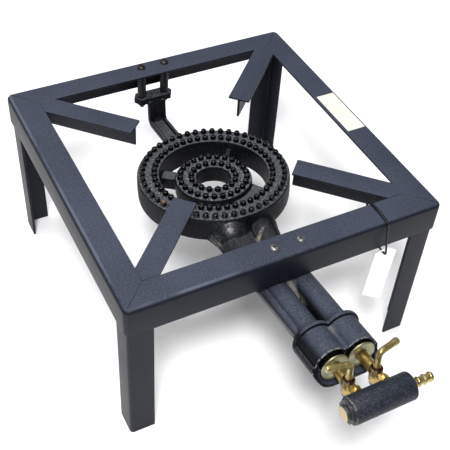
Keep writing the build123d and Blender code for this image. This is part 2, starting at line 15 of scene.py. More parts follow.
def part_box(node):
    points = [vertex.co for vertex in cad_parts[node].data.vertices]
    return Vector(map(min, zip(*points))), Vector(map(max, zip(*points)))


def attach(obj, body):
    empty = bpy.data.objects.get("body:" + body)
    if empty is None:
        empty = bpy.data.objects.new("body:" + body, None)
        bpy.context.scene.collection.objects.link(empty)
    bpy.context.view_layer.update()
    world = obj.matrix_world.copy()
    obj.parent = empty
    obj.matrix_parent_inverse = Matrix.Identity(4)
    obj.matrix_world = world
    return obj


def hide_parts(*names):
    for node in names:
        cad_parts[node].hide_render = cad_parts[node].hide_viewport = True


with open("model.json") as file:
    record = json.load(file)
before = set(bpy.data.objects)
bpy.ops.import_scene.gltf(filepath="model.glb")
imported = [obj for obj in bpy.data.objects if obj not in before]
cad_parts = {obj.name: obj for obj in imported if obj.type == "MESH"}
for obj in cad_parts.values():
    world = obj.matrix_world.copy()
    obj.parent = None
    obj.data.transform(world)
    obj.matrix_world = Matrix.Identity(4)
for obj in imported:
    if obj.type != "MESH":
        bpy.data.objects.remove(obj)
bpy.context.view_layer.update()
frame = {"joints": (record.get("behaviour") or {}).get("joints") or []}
MM = 0.001
scene = bpy.context.scene

# %% [markdown]
# ## The view
# A product shot like this is taken from above at the front left corner. The place, turn and
# lens below came from matching the stand's straight edges to the picture, so that lines
# which run away from the lens shrink at the right rate.

# %% Camera
CAMERA_PLACE = (-0.39323, -0.72350, 0.91258)
CAMERA_TURN = (45.060, -3.010, -26.979)
CAMERA_LENS = 69.6
SENSOR = 36.0

camera_data = bpy.data.cameras.new("camera")
camera_data.lens = CAMERA_LENS
camera_data.sensor_width = SENSOR
camera = bpy.data.objects.new("camera", camera_data)
camera.location = CAMERA_PLACE
camera.rotation_euler = [radians(angle) for angle in CAMERA_TURN]
scene.collection.objects.link(camera)
scene.camera = camera
print("camera at", CAMERA_PLACE, "lens", CAMERA_LENS)

# %% [markdown]
# ## Floor and light
# The stove stands on white paper under soft lamps, so shadows are short and soft and the
# paper burns out to white. A pale floor, a small lamp in front, a broad one overhead and an
# even, weak sky do the same. The plain colour response keeps the paper white instead of
# toning it down.

# %% Floor, lamps and sky
FLOOR_HALF = 6.0
FLOOR_DROP = 0.0003
LAMP_TARGET = Vector((0.0, 0.0, 0.1))
SKY_COLOUR = (0.97, 0.98, 1.0, 1.0)
SKY_STRENGTH = 0.18


def rectangle(a0, b0, a1, b1):
    """Four corners, from one corner to the opposite one."""
    return [(a0, b0), (a1, b0), (a1, b1), (a0, b1)]


scene.view_settings.view_transform = "Standard"
floor_mesh = bpy.data.meshes.new("floor")
floor_plan = rectangle(-FLOOR_HALF, -FLOOR_HALF, FLOOR_HALF, FLOOR_HALF)
floor_mesh.from_pydata([(x, y, -FLOOR_DROP) for x, y in floor_plan], [], [(0, 1, 2, 3)])
floor = bpy.data.objects.new("floor", floor_mesh)
scene.collection.objects.link(floor)


def soft_lamp(name, place, size, power):
    """Square lamp that faces the stove."""
    lamp = bpy.data.lights.new(name, "AREA")
    lamp.size = size
    lamp.energy = power
    holder = bpy.data.objects.new(name, lamp)
    holder.location = place
    aim = LAMP_TARGET - Vector(place)
    holder.rotation_euler = aim.to_track_quat("-Z", "Y").to_euler()
    scene.collection.objects.link(holder)


soft_lamp("lamp_front", (-0.69, -1.11, 2.05), size=0.5, power=58.0)
soft_lamp("lamp_over", (-0.4, 0.8, 3.0), size=2.4, power=80.0)
sky = bpy.data.worlds.new("sky")
sky.use_nodes = True
sky.node_tree.nodes["Background"].inputs["Color"].default_value = SKY_COLOUR
sky.node_tree.nodes["Background"].inputs["Strength"].default_value = SKY_STRENGTH
scene.world = sky
print("floor half width", FLOOR_HALF, "sky strength", SKY_STRENGTH)

# %% [markdown]
# ## Writing finishes as sums
# A finish is worked out from a few masks: where dust lies, where paint is thin, where a
# piece has been handled. Such masks are easier to read as sums than as chains of nodes, so
# a small class stands for one socket and turns Python arithmetic into Math nodes.

# %% Socket arithmetic
class Wire:
    """One output socket. Arithmetic on it adds Math nodes to its finish."""

    def __init__(self, finish, socket):
        self.finish = finish
        self.socket = socket

    def _math(self, operation, first, second):
        return self.finish.node("Math", {"operation": operation}, {0: first, 1: second})

    def __add__(self, other):
        return self._math("ADD", self, other)

    def __radd__(self, other):
        return self._math("ADD", other, self)

    def __sub__(self, other):
        return self._math("SUBTRACT", self, other)

    def __rsub__(self, other):
        return self._math("SUBTRACT", other, self)

    def __mul__(self, other):
        return self._math("MULTIPLY", self, other)

    def __rmul__(self, other):
        return self._math("MULTIPLY", other, self)

    def at_most(self, other):
        return self._math("MINIMUM", self, other)

    def at_least(self, other):
        return self._math("MAXIMUM", self, other)


print("sums on sockets", [name for name in vars(Wire) if name.startswith("__r")])

# %% [markdown]
# ## Masks and coats
# A mask mostly says where a point lies on its piece or which way the surface faces there, so
# both have a short name that gives a smooth rise between two limits. Colours are then laid
# over each other like coats of paint, each through its own mask.

# %% Finishes
class Finish:
    """A material round one Principled shader."""

    def __init__(self, name):
        self.name = name
        self.material = bpy.data.materials.new(name)
        self.material.use_nodes = True
        self.tree = self.material.node_tree
        self.shader = self.tree.nodes["Principled BSDF"]

    def node(self, kind, settings=None, sockets=None, output=0):
        """Adds a node, sets it up, fills its sockets and gives back one output."""
        made = self.tree.nodes.new("ShaderNode" + kind)
        for key, value in (settings or {}).items():
            setattr(made, key, value)
        for key, value in (sockets or {}).items():
            self._fill(made.inputs[key], value)
        return Wire(self, made.outputs[output])

    def _fill(self, socket, value):
        if isinstance(value, Wire):
            self.tree.links.new(value.socket, socket)
        else:
            socket.default_value = value

    def set(self, **values):
        """Fills sockets of the shader; underscores stand for spaces."""
        for key, value in values.items():
            self._fill(self.shader.inputs[key.replace("_", " ")], value)

    def place(self):
        """The point being shaded, in metres, in the piece's own frame."""
        return self.node("TexCoord", output="Object")

    def axis(self, which):
        """One coordinate of the point being shaded."""
        return self.node("SeparateXYZ", sockets={0: self.place()}, output=which)

    def facing(self, which):
        """One coordinate of the surface's outward direction."""
        outward = self.node("TexCoord", output="Normal")
        return self.node("SeparateXYZ", sockets={0: outward}, output=which)

    def cloud(self, scale, detail=4.0, rough=0.55, stretch=None):
        """Soft noise from 0 to 1, scale in patches to the metre."""
        place = self.place()
        if stretch:
            place = self.node("VectorMath", {"operation": "MULTIPLY"}, {0: place, 1: stretch})
        sockets = {"Vector": place, "Scale": scale, "Detail": detail, "Roughness": rough}
        return self.node("TexNoise", sockets=sockets)

    def step(self, value, low, high):
        """Smooth rise from 0 at low to 1 at high."""
        sockets = {"Value": value, 1: low, 2: high}
        return self.node("MapRange", {"interpolation_type": "SMOOTHSTEP"}, sockets)

    def along(self, which, low, high):
        """Smooth rise along one axis of the piece, between limits in millimetres."""
        return self.step(self.axis(which), low * MM, high * MM)

    def band(self, which, rise, fall):
        """Strip across one axis, with its rise and its fall as limits in millimetres."""
        return self.along(which, *rise) * self.along(which, *fall)

    def toward(self, which, low, high):
        """Smooth rise as the surface turns toward one axis."""
        return self.step(self.facing(which), low, high)

    def blend(self, mask, under, over):
        """Colour under, covered by colour over where the mask is 1."""
        sockets = {"Factor": mask, 6: under, 7: over}
        return self.node("Mix", {"data_type": "RGBA"}, sockets, output=2)

    def coats(self, colour, *over):
        """Colour under a row of coats, each a mask and a colour."""
        for mask, tint in over:
            colour = self.blend(mask, colour, tint)
        return colour

    def bump(self, height, depth, strength=1.0, normal=None):
        """Surface direction after raising the surface by height times depth metres."""
        sockets = {"Height": height, "Distance": depth, "Strength": strength}
        if normal is not None:
            sockets["Normal"] = normal
        return self.node("Bump", None, sockets)


def rgb(red, green, blue):
    """Colour from the 0 to 255 values of a picture, made linear."""
    return tuple((part / 255.0) ** 2.2 for part in (red, green, blue)) + (1.0,)


paper = Finish("white_paper")
paper_colour = paper.blend(paper.cloud(3.0), rgb(246, 246, 247), rgb(250, 250, 251))
paper.set(Base_Color=paper_colour, Roughness=0.9)
floor_mesh.materials.append(paper.material)
print("floor finish", paper.name)

# %% [markdown]
# ## Skins over rows of points
# Nearly every piece of this stove is a bar, a turned part or a bent rod. Each of those is a
# set of rows with a skin over them: stations along a bar, rings up a turned part, rings
# along a bent rod. One small class makes that skin, so a piece below only gives its rows.

# %% Shapes
def spun(angle):
    """Turn about the upright axis, in degrees."""
    return Matrix.Rotation(radians(angle), 4, "Z")


def circle(sides):
    """Directions to points evenly round a circle."""
    return [(cos(2 * pi * k / sides), sin(2 * pi * k / sides)) for k in range(sides)]


class Shape:
    """Points in millimetres and the faces between them."""

    def __init__(self):
        self.points = []
        self.faces = []

    def rows(self, rows, loop=False):
        """Skin over rows of points, each row a closed ring of the same count."""
        start, count = len(self.points), len(rows[0])
        for row in rows:
            self.points.extend(Vector(point) for point in row)
        for number in range(len(rows) if loop else len(rows) - 1):
            here = start + number * count
            there = start + (number + 1) % len(rows) * count
            for k in range(count):
                after = (k + 1) % count
                self.faces.append((here + k, here + after, there + after, there + k))
        if not loop:
            self.faces.append(tuple(range(start, start + count)))
            self.faces.append(tuple(range(len(self.points) - count, len(self.points))))
        return self

    def turned(self, profile, sides, place=Matrix(), loop=False):
        """Turned part about Z from points of radius and height."""
        rows = []
        for r, z in profile:
            rows.append([place @ Vector((r * c, r * s, z)) for c, s in circle(sides)])
        return self.rows(rows, loop)

    def rod(self, path, radii, sides=16, loop=False):
        """Round rod along a path, with its radius at each point."""
        path = [Vector(point) for point in path]
        rows, side = [], None
        for k, here in enumerate(path):
            before = path[k - 1] if k or loop else here
            after = path[(k + 1) % len(path)] if loop or k + 1 < len(path) else here
            ahead = (after - before).normalized()
            side = ahead.orthogonal() if side is None else side - ahead * side.dot(ahead)
            side.normalize()
            other = ahead.cross(side)
            rows.append([here + radii[k] * (side * c + other * s) for c, s in circle(sides)])
        return self.rows(rows, loop)


def rounded(corners, setbacks, steps=4):
    """Closed outline with a round at each corner that starts the given distance from it."""
    outline = []
    for k, corner in enumerate(corners):
        here = Vector(corner)
        back = (Vector(corners[k - 1]) - here).normalized()
        on = (Vector(corners[(k + 1) % len(corners)]) - here).normalized()
        weight = sqrt((1 - back.dot(on)) / 2)
        ends = (here + back * setbacks[k], here, here + on * setbacks[k])
        for step in range(steps + 1):
            t = step / steps
            shares = ((1 - t) ** 2, 2 * t * (1 - t) * weight, t ** 2)
            total = sum((end * share for end, share in zip(ends, shares)), here * 0)
            outline.append(total / sum(shares))
    return outline


square = rounded([(0, 0), (1, 0), (1, 1), (0, 1)], [0.1] * 4)
print("square with round corners", len(square), "points")

# %% [markdown]
# ## Pieces on bodies
# A shape becomes a piece when it has a name, a finish and a body to ride on. Faces that meet
# at a small angle are shaded as one curve, and sharper ones keep their edge. Most pieces
# ride on the stove itself.

# %% Pieces
SHARP = 40.0


def piece(name, shape, finish, replaced=(), place=Matrix(), body="stove", sharp=SHARP):
    """Makes the object, gives it its finish and sets it on a body of the packed stove."""
    mesh = bpy.data.meshes.new(name)
    mesh.from_pydata([point * MM for point in shape.points], [], shape.faces)
    skin = bmesh.new()
    skin.from_mesh(mesh)
    bmesh.ops.recalc_face_normals(skin, faces=skin.faces)
    skin.to_mesh(mesh)
    skin.free()
    mesh.polygons.foreach_set("use_smooth", [True] * len(mesh.polygons))
    mesh.set_sharp_from_angle(angle=radians(sharp))
    mesh.materials.append(finish.material)
    made = bpy.data.objects.new(name, mesh)
    made.matrix_world = place
    scene.collection.objects.link(made)
    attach(made, body)
    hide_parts(*replaced)
    return made


print("edges stay sharp above", SHARP, "degrees")

# %% [markdown]
# ## The stand's paint
# The stand is steel dipped in a dark blue-grey paint with a satin shine. Up close such paint
# has a fine peel, a little haze where dust has settled on level faces, and small pale specks
# where it is scuffed. Noise at three sizes gives those; the level faces are found from the
# direction that the surface faces. Their paler blue-grey is partly that dust and partly
# painted top light: the sheen of the lamp overhead, laid into the colour.

# %% Stand paint
PEEL_DEPTH = 0.00010

paint = Finish("stand_paint")
paint_haze = paint.cloud(11.0, 5.0)
paint_mottle = paint.cloud(430.0, 3.0, 0.7) - 0.5
paint_fleck = paint.step(paint.cloud(380.0, 2.0), 0.69, 0.75)
paint_level = paint.toward("Z", 0.55, 0.95)
# Level faces take a paler blue-grey: partly settled dust, partly painted top light standing in for
# the overhead lamp's sheen.
paint_dust_and_top_light = paint_level * (0.30 + 0.5 * paint_haze + 1.3 * paint_mottle)
# Painted highlight along the rounded fold at the top edge of the left part of the rails, with some
# rubbed wear: a paler band where the fold catches the light.
paint_fold = paint.toward("Z", 0.70, 0.88) * paint.toward("Z", 0.998, 0.97)
paint_left = 0.45 * paint.along("X", 0.0, -120.0)
paint_fold_highlight_and_rub = paint_fold * paint.step(paint_haze, 0.35, 0.60) * paint_left
paint_colour = paint.coats(
    paint.blend(paint_haze, rgb(22, 24, 31), rgb(29, 32, 41)),
    (paint_dust_and_top_light, rgb(69, 74, 88)),
    (paint_fleck * 0.14, rgb(140, 142, 148)),
    (paint_fold_highlight_and_rub, rgb(98, 103, 116)))
paint.set(Base_Color=paint_colour, Specular_IOR_Level=0.16)
paint.set(Roughness=0.36 + 0.2 * paint_haze + 0.1 * paint_level)
paint.set(Normal=paint.bump(paint.cloud(900.0, 3.0), PEEL_DEPTH, 0.30))
print("finish", paint.name)

# %% [markdown]
# ## Rails
# Each rail is a strip of sheet folded to a right angle along its length and cut at both ends
# for a mitred corner. The fold is round outside, the corner is dressed round after welding,
# and the weld is a thin sunk line. So a rail is one outline carried along stations: the
# last few swing round the corner, and the very last is sunk a little to leave that line.

# %% Rails
low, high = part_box("rail_front")
INSIDE_BOX = 0.002
STAND_HALF = -low.y / MM - INSIDE_BOX
STAND_TOP = high.z / MM
RAIL_FLANGE = (high.y - low.y) / MM
RAIL_DROP = (high.z - low.z) / MM
SHEET, SHEET_EASE = 3.0, 0.7
RAIL_BEND, BEND_STEPS = 6.0, 6
CORNER_ROUND = 8.0
CORNER_TURNS = (0, 9, 18, 27, 36, 45)
WELD_WIDTH, WELD_SINK = 0.5, 0.4


def folded_sheet(across, down, bend, sunk):
    """Outline of a folded sheet, in distances in from the outside and down from the top."""
    inner = SHEET - sunk
    corners = [(sunk, sunk), (across - sunk, sunk), (across - sunk, inner)]
    corners += [(inner, inner), (inner, down - sunk), (sunk, down - sunk)]
    setbacks = [bend - sunk] + [SHEET_EASE] * 2 + [bend - SHEET + sunk] + [SHEET_EASE] * 2
    return rounded(corners, setbacks, BEND_STEPS)


def rail_station(side, angle):
    """Outline of the front rail where the corner has turned by an angle."""
    sunk = WELD_SINK if angle == CORNER_TURNS[-1] else 0.0
    row = []
    for inward, down in folded_sheet(RAIL_FLANGE, RAIL_DROP, RAIL_BEND, sunk):
        radius = max(CORNER_ROUND - inward, WELD_WIDTH)
        centre = STAND_HALF - inward - radius
        along = centre + radius * sin(radians(angle))
        out = centre + radius * cos(radians(angle))
        row.append((side * along, -out, STAND_TOP - down))
    return row


rail_rows = [rail_station(-1, angle) for angle in reversed(CORNER_TURNS)]
rail_rows += [rail_station(1, angle) for angle in CORNER_TURNS]
for turn, side in enumerate(("front", "right", "back", "left")):
    rows = [[spun(90 * turn) @ Vector(point) for point in row] for row in rail_rows]
    piece("painted_rail_" + side, Shape().rows(rows), paint, ["rail_" + side])
print("rail", 2 * STAND_HALF, "long", RAIL_FLANGE, "by", RAIL_DROP)

# %% [markdown]
# ## Legs
# A leg is a length of the same kind of angle set inside the corner, so it steps in under the
# rail by the thickness of the sheet. Its foot is only sawn off, with the burr taken away:
# one more station, drawn in a little, makes that small edge catch the light.

# %% Legs
low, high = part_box("leg_front_left")
LEG_FLANGE = (high.x - low.x) / MM
LEG_CORNER = -low.x / MM
LEG_TOP = high.z / MM
LEG_BEND = 4.5
LEG_EASE = 0.5
CORNERS = ("front_left", "front_right", "back_right", "back_left")

leg_stations = [(0.0, LEG_EASE), (LEG_EASE, 0.0)]
leg_stations += [(LEG_TOP - LEG_EASE, 0.0), (LEG_TOP, LEG_EASE)]
for turn, corner in enumerate(CORNERS):
    rows = []
    for height, sunk in leg_stations:
        outline = folded_sheet(LEG_FLANGE, LEG_FLANGE, LEG_BEND, sunk)
        row = [(across - LEG_CORNER, down - LEG_CORNER, height) for across, down in outline]
        rows.append([spun(90 * turn) @ Vector(point) for point in row])
    piece("painted_leg_" + corner, Shape().rows(rows), paint, ["leg_" + corner])
print("leg", LEG_FLANGE, "wide and", LEG_TOP, "high")

# %% [markdown]
# ## Pot supports
# Four bars of T section run in from the corners and carry the pot. The outer end is cut to a
# point that sits in the corner of the rails, and the inner end is square. The outline of the
# T is carried from the square end to the pointed one, with a drawn-in station at each end so
# that the joint with the rail shows as a fine dark line.

# %% Pot supports
SUPPORT_WIDTH = 28.0
SUPPORT_DEPTH = 29.0
SUPPORT_REACH = 103.0
SUPPORT_CORNER = sqrt(2) * (STAND_HALF - RAIL_FLANGE)
SUPPORT_EASE, SUPPORT_INSIDE, SUPPORT_JOINT = 0.6, 1.2, 0.15
SUPPORT_HEADING = 225
SUPPORT_STATIONS = ((False, 0.0, SUPPORT_EASE), (False, SUPPORT_EASE, 0.0))
SUPPORT_STATIONS += ((True, SUPPORT_JOINT, 0.0), (True, 0.0, SUPPORT_JOINT))


def tee_outline(sunk):
    """Outline of the T, across and up from the middle of its top."""
    side, web, under = SUPPORT_WIDTH / 2 - sunk, SHEET / 2 - sunk, sunk - SHEET
    right = [(side, -sunk), (side, under), (web, under), (web, sunk - SUPPORT_DEPTH)]
    corners = [(0.0, -sunk)] + right + [(-across, up) for across, up in reversed(right)]
    eases = [SUPPORT_EASE, SUPPORT_EASE, SUPPORT_INSIDE, SUPPORT_EASE]
    return rounded(corners, [SUPPORT_EASE] + eases + eases[::-1])


for turn, corner in enumerate(CORNERS):
    heading = spun(90 * turn + SUPPORT_HEADING)
    rows = []
    for pointed, inset, sunk in SUPPORT_STATIONS:
        row = []
        for across, up in tee_outline(sunk):
            along = SUPPORT_CORNER - abs(across) - inset if pointed else SUPPORT_REACH + inset
            row.append(heading @ Vector((along, across, STAND_TOP + up)))
        rows.append(row)
    piece("painted_support_" + corner, Shape().rows(rows), paint, ["pot_support_" + corner])
print("supports reach in to", SUPPORT_REACH, "from the middle")

# %% [markdown]
# ## The burner's own frame
# The burner leans back a few degrees, so everything on it is easier to draw in a frame of
# its own: across, back along the tubes, and up out of the rings. The packed joints give it.
# The cock turns about the burner's up axis and the air shutter slides along its back axis.

# %% Burner frame
TUBE_PITCH = 34.0
TUBE_DROP = 37.5
COCK_BACK = -338.0
TUBES = {"left": -TUBE_PITCH / 2, "right": TUBE_PITCH / 2}

joints = {joint["name"]: joint for joint in frame["joints"]}
burner_up = Vector(joints["left_cock"]["axis"]).normalized()
burner_back = Vector(joints["left_shutter"]["axis"]).normalized()
burner_across = burner_back.cross(burner_up)
cock_place = Vector(joints["left_cock"]["pos_m"])
cock_offset = burner_across * TUBES["left"] + burner_back * COCK_BACK - burner_up * TUBE_DROP
burner = Matrix((burner_across, burner_back, burner_up)).transposed().to_4x4()
burner.translation = cock_place - cock_offset * MM
level = burner.inverted()


def from_stand(across, back, up):
    """Point of the level stand, in the burner's frame, all in millimetres."""
    return level @ (Vector((across, back, up)) * MM) / MM


print("burner origin", [round(value, 4) for value in burner.translation])

# %% [markdown]
# ## Cast iron
# The burner comes out of a sand mould, is tumbled and dipped in black. So its skin is lumpy
# at the size of sand grains and a little wavy above that, and the black turns dull grey
# where dust and handling have reached it: on the faces of the rings and on the sunk links
# between them. Along the two tubes in front the grey is partly dust and partly painted
# light, laid on faces that look up and to the right, while the left flanks and undersides
# stay black as painted shade.

# %% Cast iron colours
RING_FACES, SUNK_LINKS = (-11.0, -7.5), (4.0, -4.0)
INSIDE_RING = (-92.0, -80.0)
GREY_TUBES, GREY_FIN = (-130.0, -215.0), (-37.0, -31.0)

iron = Finish("burner_iron")
iron_patch = iron.cloud(38.0, 5.0, 0.6)
iron_sand = iron.cloud(400.0, 4.0, 0.75)
iron_wear = 0.45 + 0.5 * iron_patch
iron_up = iron.toward("Z", 0.80, 0.98)
iron_face = iron_up * iron.along("Z", *RING_FACES)
iron_out = 1.0 - iron.toward("Y", -0.60, -0.85)
iron_front = iron_out * iron.along("Y", *GREY_TUBES)
# Painted light and shade: faces that look up and to the right take the tube grey, while left
# flanks and undersides stay black.
iron_lit_side = iron.step(iron.facing("Z") + 0.8 * iron.facing("X"), -0.25, 0.55)
iron_dust_and_lit_tops = iron_front * iron_lit_side * iron.along("X", *GREY_FIN)
iron_inside = 0.3 + 0.7 * iron.along("Y", *INSIDE_RING)
iron_sunk = iron_up * iron_inside * iron.along("Z", *SUNK_LINKS)
# Pale specks are partly sand grain and partly painted glints: the sparkle of the rough black, laid
# into the colour.
iron_pale_grain_and_glints = 0.06 + 0.02 * iron_dust_and_lit_tops + 0.60 * iron_face + 0.3 * iron_sunk
iron_pit = 0.25 * iron_dust_and_lit_tops + 0.80 * iron_face + 0.4 * iron_sunk
iron_grain = iron.coats(
    iron.blend(iron_patch, rgb(8, 9, 11), rgb(18, 20, 25)),
    (iron_sunk * 0.7, rgb(80, 82, 85)),
    (iron_dust_and_lit_tops * iron_wear, rgb(66, 71, 84)),
    (iron_face * iron_wear, rgb(76, 79, 83)),
    (iron.step(iron_sand, 0.53, 0.66) * iron_pale_grain_and_glints, rgb(124, 128, 134)),
    ((iron.step(iron_sand, 0.50, 0.38) * iron_pit).at_most(1.0), rgb(20, 21, 23)))
print("iron grain mixed for", iron.name)

# %% [markdown]
# Dust settles in the groove between the tubes, which bends to the right as it nears the
# ring, and in the saddle of the mouths. The front edge of the mouths has lost some of its
# black, and the pale line along the fin's edge is a painted highlight. All four are found
# from where a point lies in the burner's own frame; distances from a middle line are
# compared as squares, in square millimetres.

# %% Groove dust, worn edges and fin highlight
GROOVE_ACROSS, GROOVE_TURN, GROOVE_LEAN = -1.0, -118.0, 1.06
GROOVE_SQUARE, SADDLE_SQUARE = 20.0, 30.0
GROOVE_BACK, GROOVE_FRONT = (-104.0, -109.0), (-230.0, -212.0)
SADDLE_BACK, SADDLE_FRONT = (-272.2, -274.0), (-288.0, -276.0)
FIN_TIP, FIN_LEAN = (-38.0, -267.0), 0.0305
FIN_LINE, FIN_STOP = (1.4, 0.4), (-268.0, -262.0)
EDGE_BACK, EDGE_FRONT = (-305.2, -307.0), (-309.6, -308.6)

iron_slant = ((iron.axis("Y") - GROOVE_TURN * MM) * GROOVE_LEAN).at_least(0.0)
iron_middle = iron.axis("X") - GROOVE_ACROSS * MM - iron_slant
iron_groove = iron.step(iron_middle * iron_middle, GROOVE_SQUARE * MM * MM, 0.0)
iron_groove = iron_groove * iron.band("Y", GROOVE_BACK, GROOVE_FRONT)
iron_settled = iron_groove * iron.step(iron_sand + iron_patch, 0.75, 1.10)
iron_saddle = iron.step(iron.axis("X") * iron.axis("X"), SADDLE_SQUARE * MM * MM, 0.0)
iron_saddle = iron_saddle * iron.band("Y", SADDLE_BACK, SADDLE_FRONT)
iron_dust = (iron_settled + 0.5 * iron_saddle).at_most(1.0) * 0.65
iron_tip = iron.axis("X") - FIN_TIP[0] * MM + FIN_LEAN * (iron.axis("Y") - FIN_TIP[1] * MM)
iron_fin = iron.step(iron_tip, FIN_LINE[0] * MM, FIN_LINE[1] * MM)
# Painted highlight: a pale line along the fin's edge, where it catches the light.
iron_fin_highlight = iron_fin * iron_front * iron.along("Y", *FIN_STOP)
iron_edge = iron_out * iron.band("Y", EDGE_BACK, EDGE_FRONT)
iron_worn = iron_edge * iron.step(iron.cloud(340.0, 3.0), 0.46, 0.62)
iron_colour = iron.coats(
    iron_grain,
    (iron_dust, rgb(122, 119, 110)),
    (iron_fin_highlight * 0.5, rgb(116, 118, 122)),
    (iron_worn * 0.55, rgb(150, 149, 143)))
iron.set(Base_Color=iron_colour)
print("dust and wear laid on", iron.name)

# %% [markdown]
# The dip runs and gathers on the swelling in front of the ring, where the black is thick
# enough to shine. A coat with a weight of its own gives that. The lumps of the skin are two
# bumps on top of each other, the fine grain over the soft waves.

# %% Cast iron shine and skin
THICK_BACK, THICK_FRONT, THICK_LEFT = (-84.0, -94.0), (-110.0, -101.0), (-4.0, -14.0)
WAVE_DEPTH, GRAIN_DEPTH = 0.0009, 0.0007

iron_thick = iron.band("Y", THICK_BACK, THICK_FRONT) * iron.along("X", *THICK_LEFT)
iron_gloss = iron_thick * (0.18 + 1.5 * iron.step(iron_sand, 0.42, 0.62))
iron.set(Coat_Weight=iron_gloss.at_most(1.0), Coat_Roughness=0.38, Specular_IOR_Level=0.10)
iron.set(Roughness=0.44 + 0.12 * iron_patch + 0.06 * iron_dust_and_lit_tops + 0.10 * iron_face)
iron_waves = iron.bump(iron.cloud(95.0, 2.0), WAVE_DEPTH, 0.4)
iron.set(Normal=iron.bump(iron.cloud(520.0, 4.0, 0.65), GRAIN_DEPTH, 0.6, iron_waves))
print("finish", iron.name)

# %% [markdown]
# The nipples were drilled after casting and stay clean, black and glossy, with dull tops.
# One of them, on the left of the outer ring, has gone rusty; the distance from its place is
# the mask.

# %% Nipple finish
RUSTY_NIPPLE = (-0.0833, -0.0330, 0.0055)
RUST_REACH = (3.2, 1.2)

nipple = Finish("nipple_iron")
nipple_patch = nipple.cloud(160.0, 3.0)
nipple_ends = {0: nipple.place(), 1: RUSTY_NIPPLE}
nipple_away = nipple.node("VectorMath", {"operation": "DISTANCE"}, nipple_ends, output="Value")
nipple_rust = nipple.step(nipple_away, RUST_REACH[0] * MM, RUST_REACH[1] * MM)
nipple_top = nipple.toward("Z", 0.80, 0.97) * nipple.step(nipple.cloud(420.0, 2.0), 0.35, 0.65)
nipple_colour = nipple.coats(
    nipple.blend(nipple_patch, rgb(7, 7, 8), rgb(13, 13, 15)),
    (nipple_top, rgb(52, 54, 56)),
    (nipple_rust * 0.8, rgb(142, 100, 66)))
nipple.set(Base_Color=nipple_colour, Specular_IOR_Level=0.30)
nipple.set(Roughness=0.10 + 0.10 * nipple_patch + 0.20 * nipple_top)
nipple.set(Normal=nipple.bump(nipple.cloud(900.0, 2.0), 0.00012, 0.5))
print("finish", nipple.name)

# %% [markdown]
# ## Rings and their links
# A casting has no sharp inside corners, because the metal has to flow. The burner is drawn
# as plain closed shapes that run into each other: first the two rings, turned from an
# outline with a barrelled wall, then the links between them. Later all of it is melted into
# one skin with soft corners.

# %% Rings and links
RING_SIDES = 144
OUTER_BORE, OUTER_EDGE = 68.0, 96.0
INNER_BORE, INNER_EDGE = 21.7, 48.5
RING_DEPTH, INNER_STEP = 34.0, 8.0
RING_FOOT_ROUND, RING_FOOT_RISE = 5.0, 4.0
RING_BARREL = 0.7
RING_ROUNDS = (1.0, 1.6, 6.0, 2.0, 2.0, 2.0, 2.0)
LINK_LOW, LINK_BITE = -31.0, 3.0
PASSAGE_ANGLE, PASSAGE_WIDTH, PASSAGE_TOP, PASSAGE_NEAR = -60.0, 46.0, -14.0, 0.72
SPOKE_ANGLE, SPOKE_WIDTH, SPOKE_TOP = 140.0, 17.0, -14.5
RIB_ANGLE, RIB_WIDTH, RIB_CREST = 47.0, 24.0, 0.22
RIB_NEAR_TOP, RIB_FAR_TOP = -24.0, -7.0

casting = Shape()


def ring_outline(bore, edge, face):
    """Section of a ring: crisp upper edges, a slightly full wall and a round foot."""
    wall, foot = (face - RING_DEPTH) / 2, RING_FOOT_RISE - RING_DEPTH
    corners = [(bore, face), (edge, face), (edge + RING_BARREL, wall), (edge, foot)]
    corners += [(edge - RING_FOOT_ROUND, -RING_DEPTH), (bore + RING_FOOT_ROUND, -RING_DEPTH)]
    return rounded(corners + [(bore, foot)], RING_ROUNDS, 3)


def link(angle, width, near, near_top, far_top, crest=1.0):
    """Block out to the outer ring, level along the bottom, its top narrowed to a share."""
    rows = []
    for radius, top in ((near, near_top), (OUTER_BORE + LINK_BITE, far_top)):
        half_top, half_low = crest * width / 2, width / 2
        corners = [(-half_top, top), (half_top, top), (half_low, LINK_LOW), (-half_low, LINK_LOW)]
        rows.append([spun(angle) @ Vector((radius, across, up)) for across, up in corners])
    casting.rows(rows)


inner_bite = INNER_EDGE - LINK_BITE
casting.turned(ring_outline(OUTER_BORE, OUTER_EDGE, 0.0), RING_SIDES, loop=True)
casting.turned(ring_outline(INNER_BORE, INNER_EDGE, -INNER_STEP), RING_SIDES, loop=True)
link(PASSAGE_ANGLE, PASSAGE_WIDTH, INNER_EDGE * PASSAGE_NEAR, PASSAGE_TOP, PASSAGE_TOP)
link(SPOKE_ANGLE, SPOKE_WIDTH, inner_bite, SPOKE_TOP, SPOKE_TOP)
link(RIB_ANGLE, RIB_WIDTH, inner_bite, RIB_NEAR_TOP, RIB_FAR_TOP, RIB_CREST)
print("rings", 2 * OUTER_EDGE, "and", 2 * INNER_EDGE, "across")

# %% [markdown]
# ## Mixing tubes
# Gas and air mix on their way along two tubes. The left-hand one ends in the outer ring and
# the right-hand one runs on under it into the inner ring. Here they are plain rods; a filled
# web joins them and a thin fin runs along the left side.

# %% Mixing tubes
TUBE_RADIUS, TUBE_SIDES = 16.0, 48
TUBE_ENDS = {"left": -100.0, "right": -INNER_BORE - 2}
LIP_BACK = -267.0
HUMP_FRONT, HUMP_START, HUMP_END = -130.0, -126.0, -95.0
WEB_LOW = -41.5
RAMP_TOP, RAMP_FRONT, RAMP_CREST = -26.0, -214.7, -194.7
FIN_TOP, FIN_LOW, FIN_ROOT = -27.5, -31.5, -24.0
FIN_OUTLINE = ((-25.0, -70.0), (-44.0, -70.0), (-38.0, LIP_BACK), (-25.0, LIP_BACK))
FIN_FLARE = ((-118.0, -43.5, FIN_TOP), (-100.0, -44.8, -25.5), (-80.0, -49.2, -20.0))


def filled_web(profile):
    """Prism from tube to tube, from points of back and up."""
    casting.rows([[(u, back, up) for back, up in profile] for u in TUBES.values()])


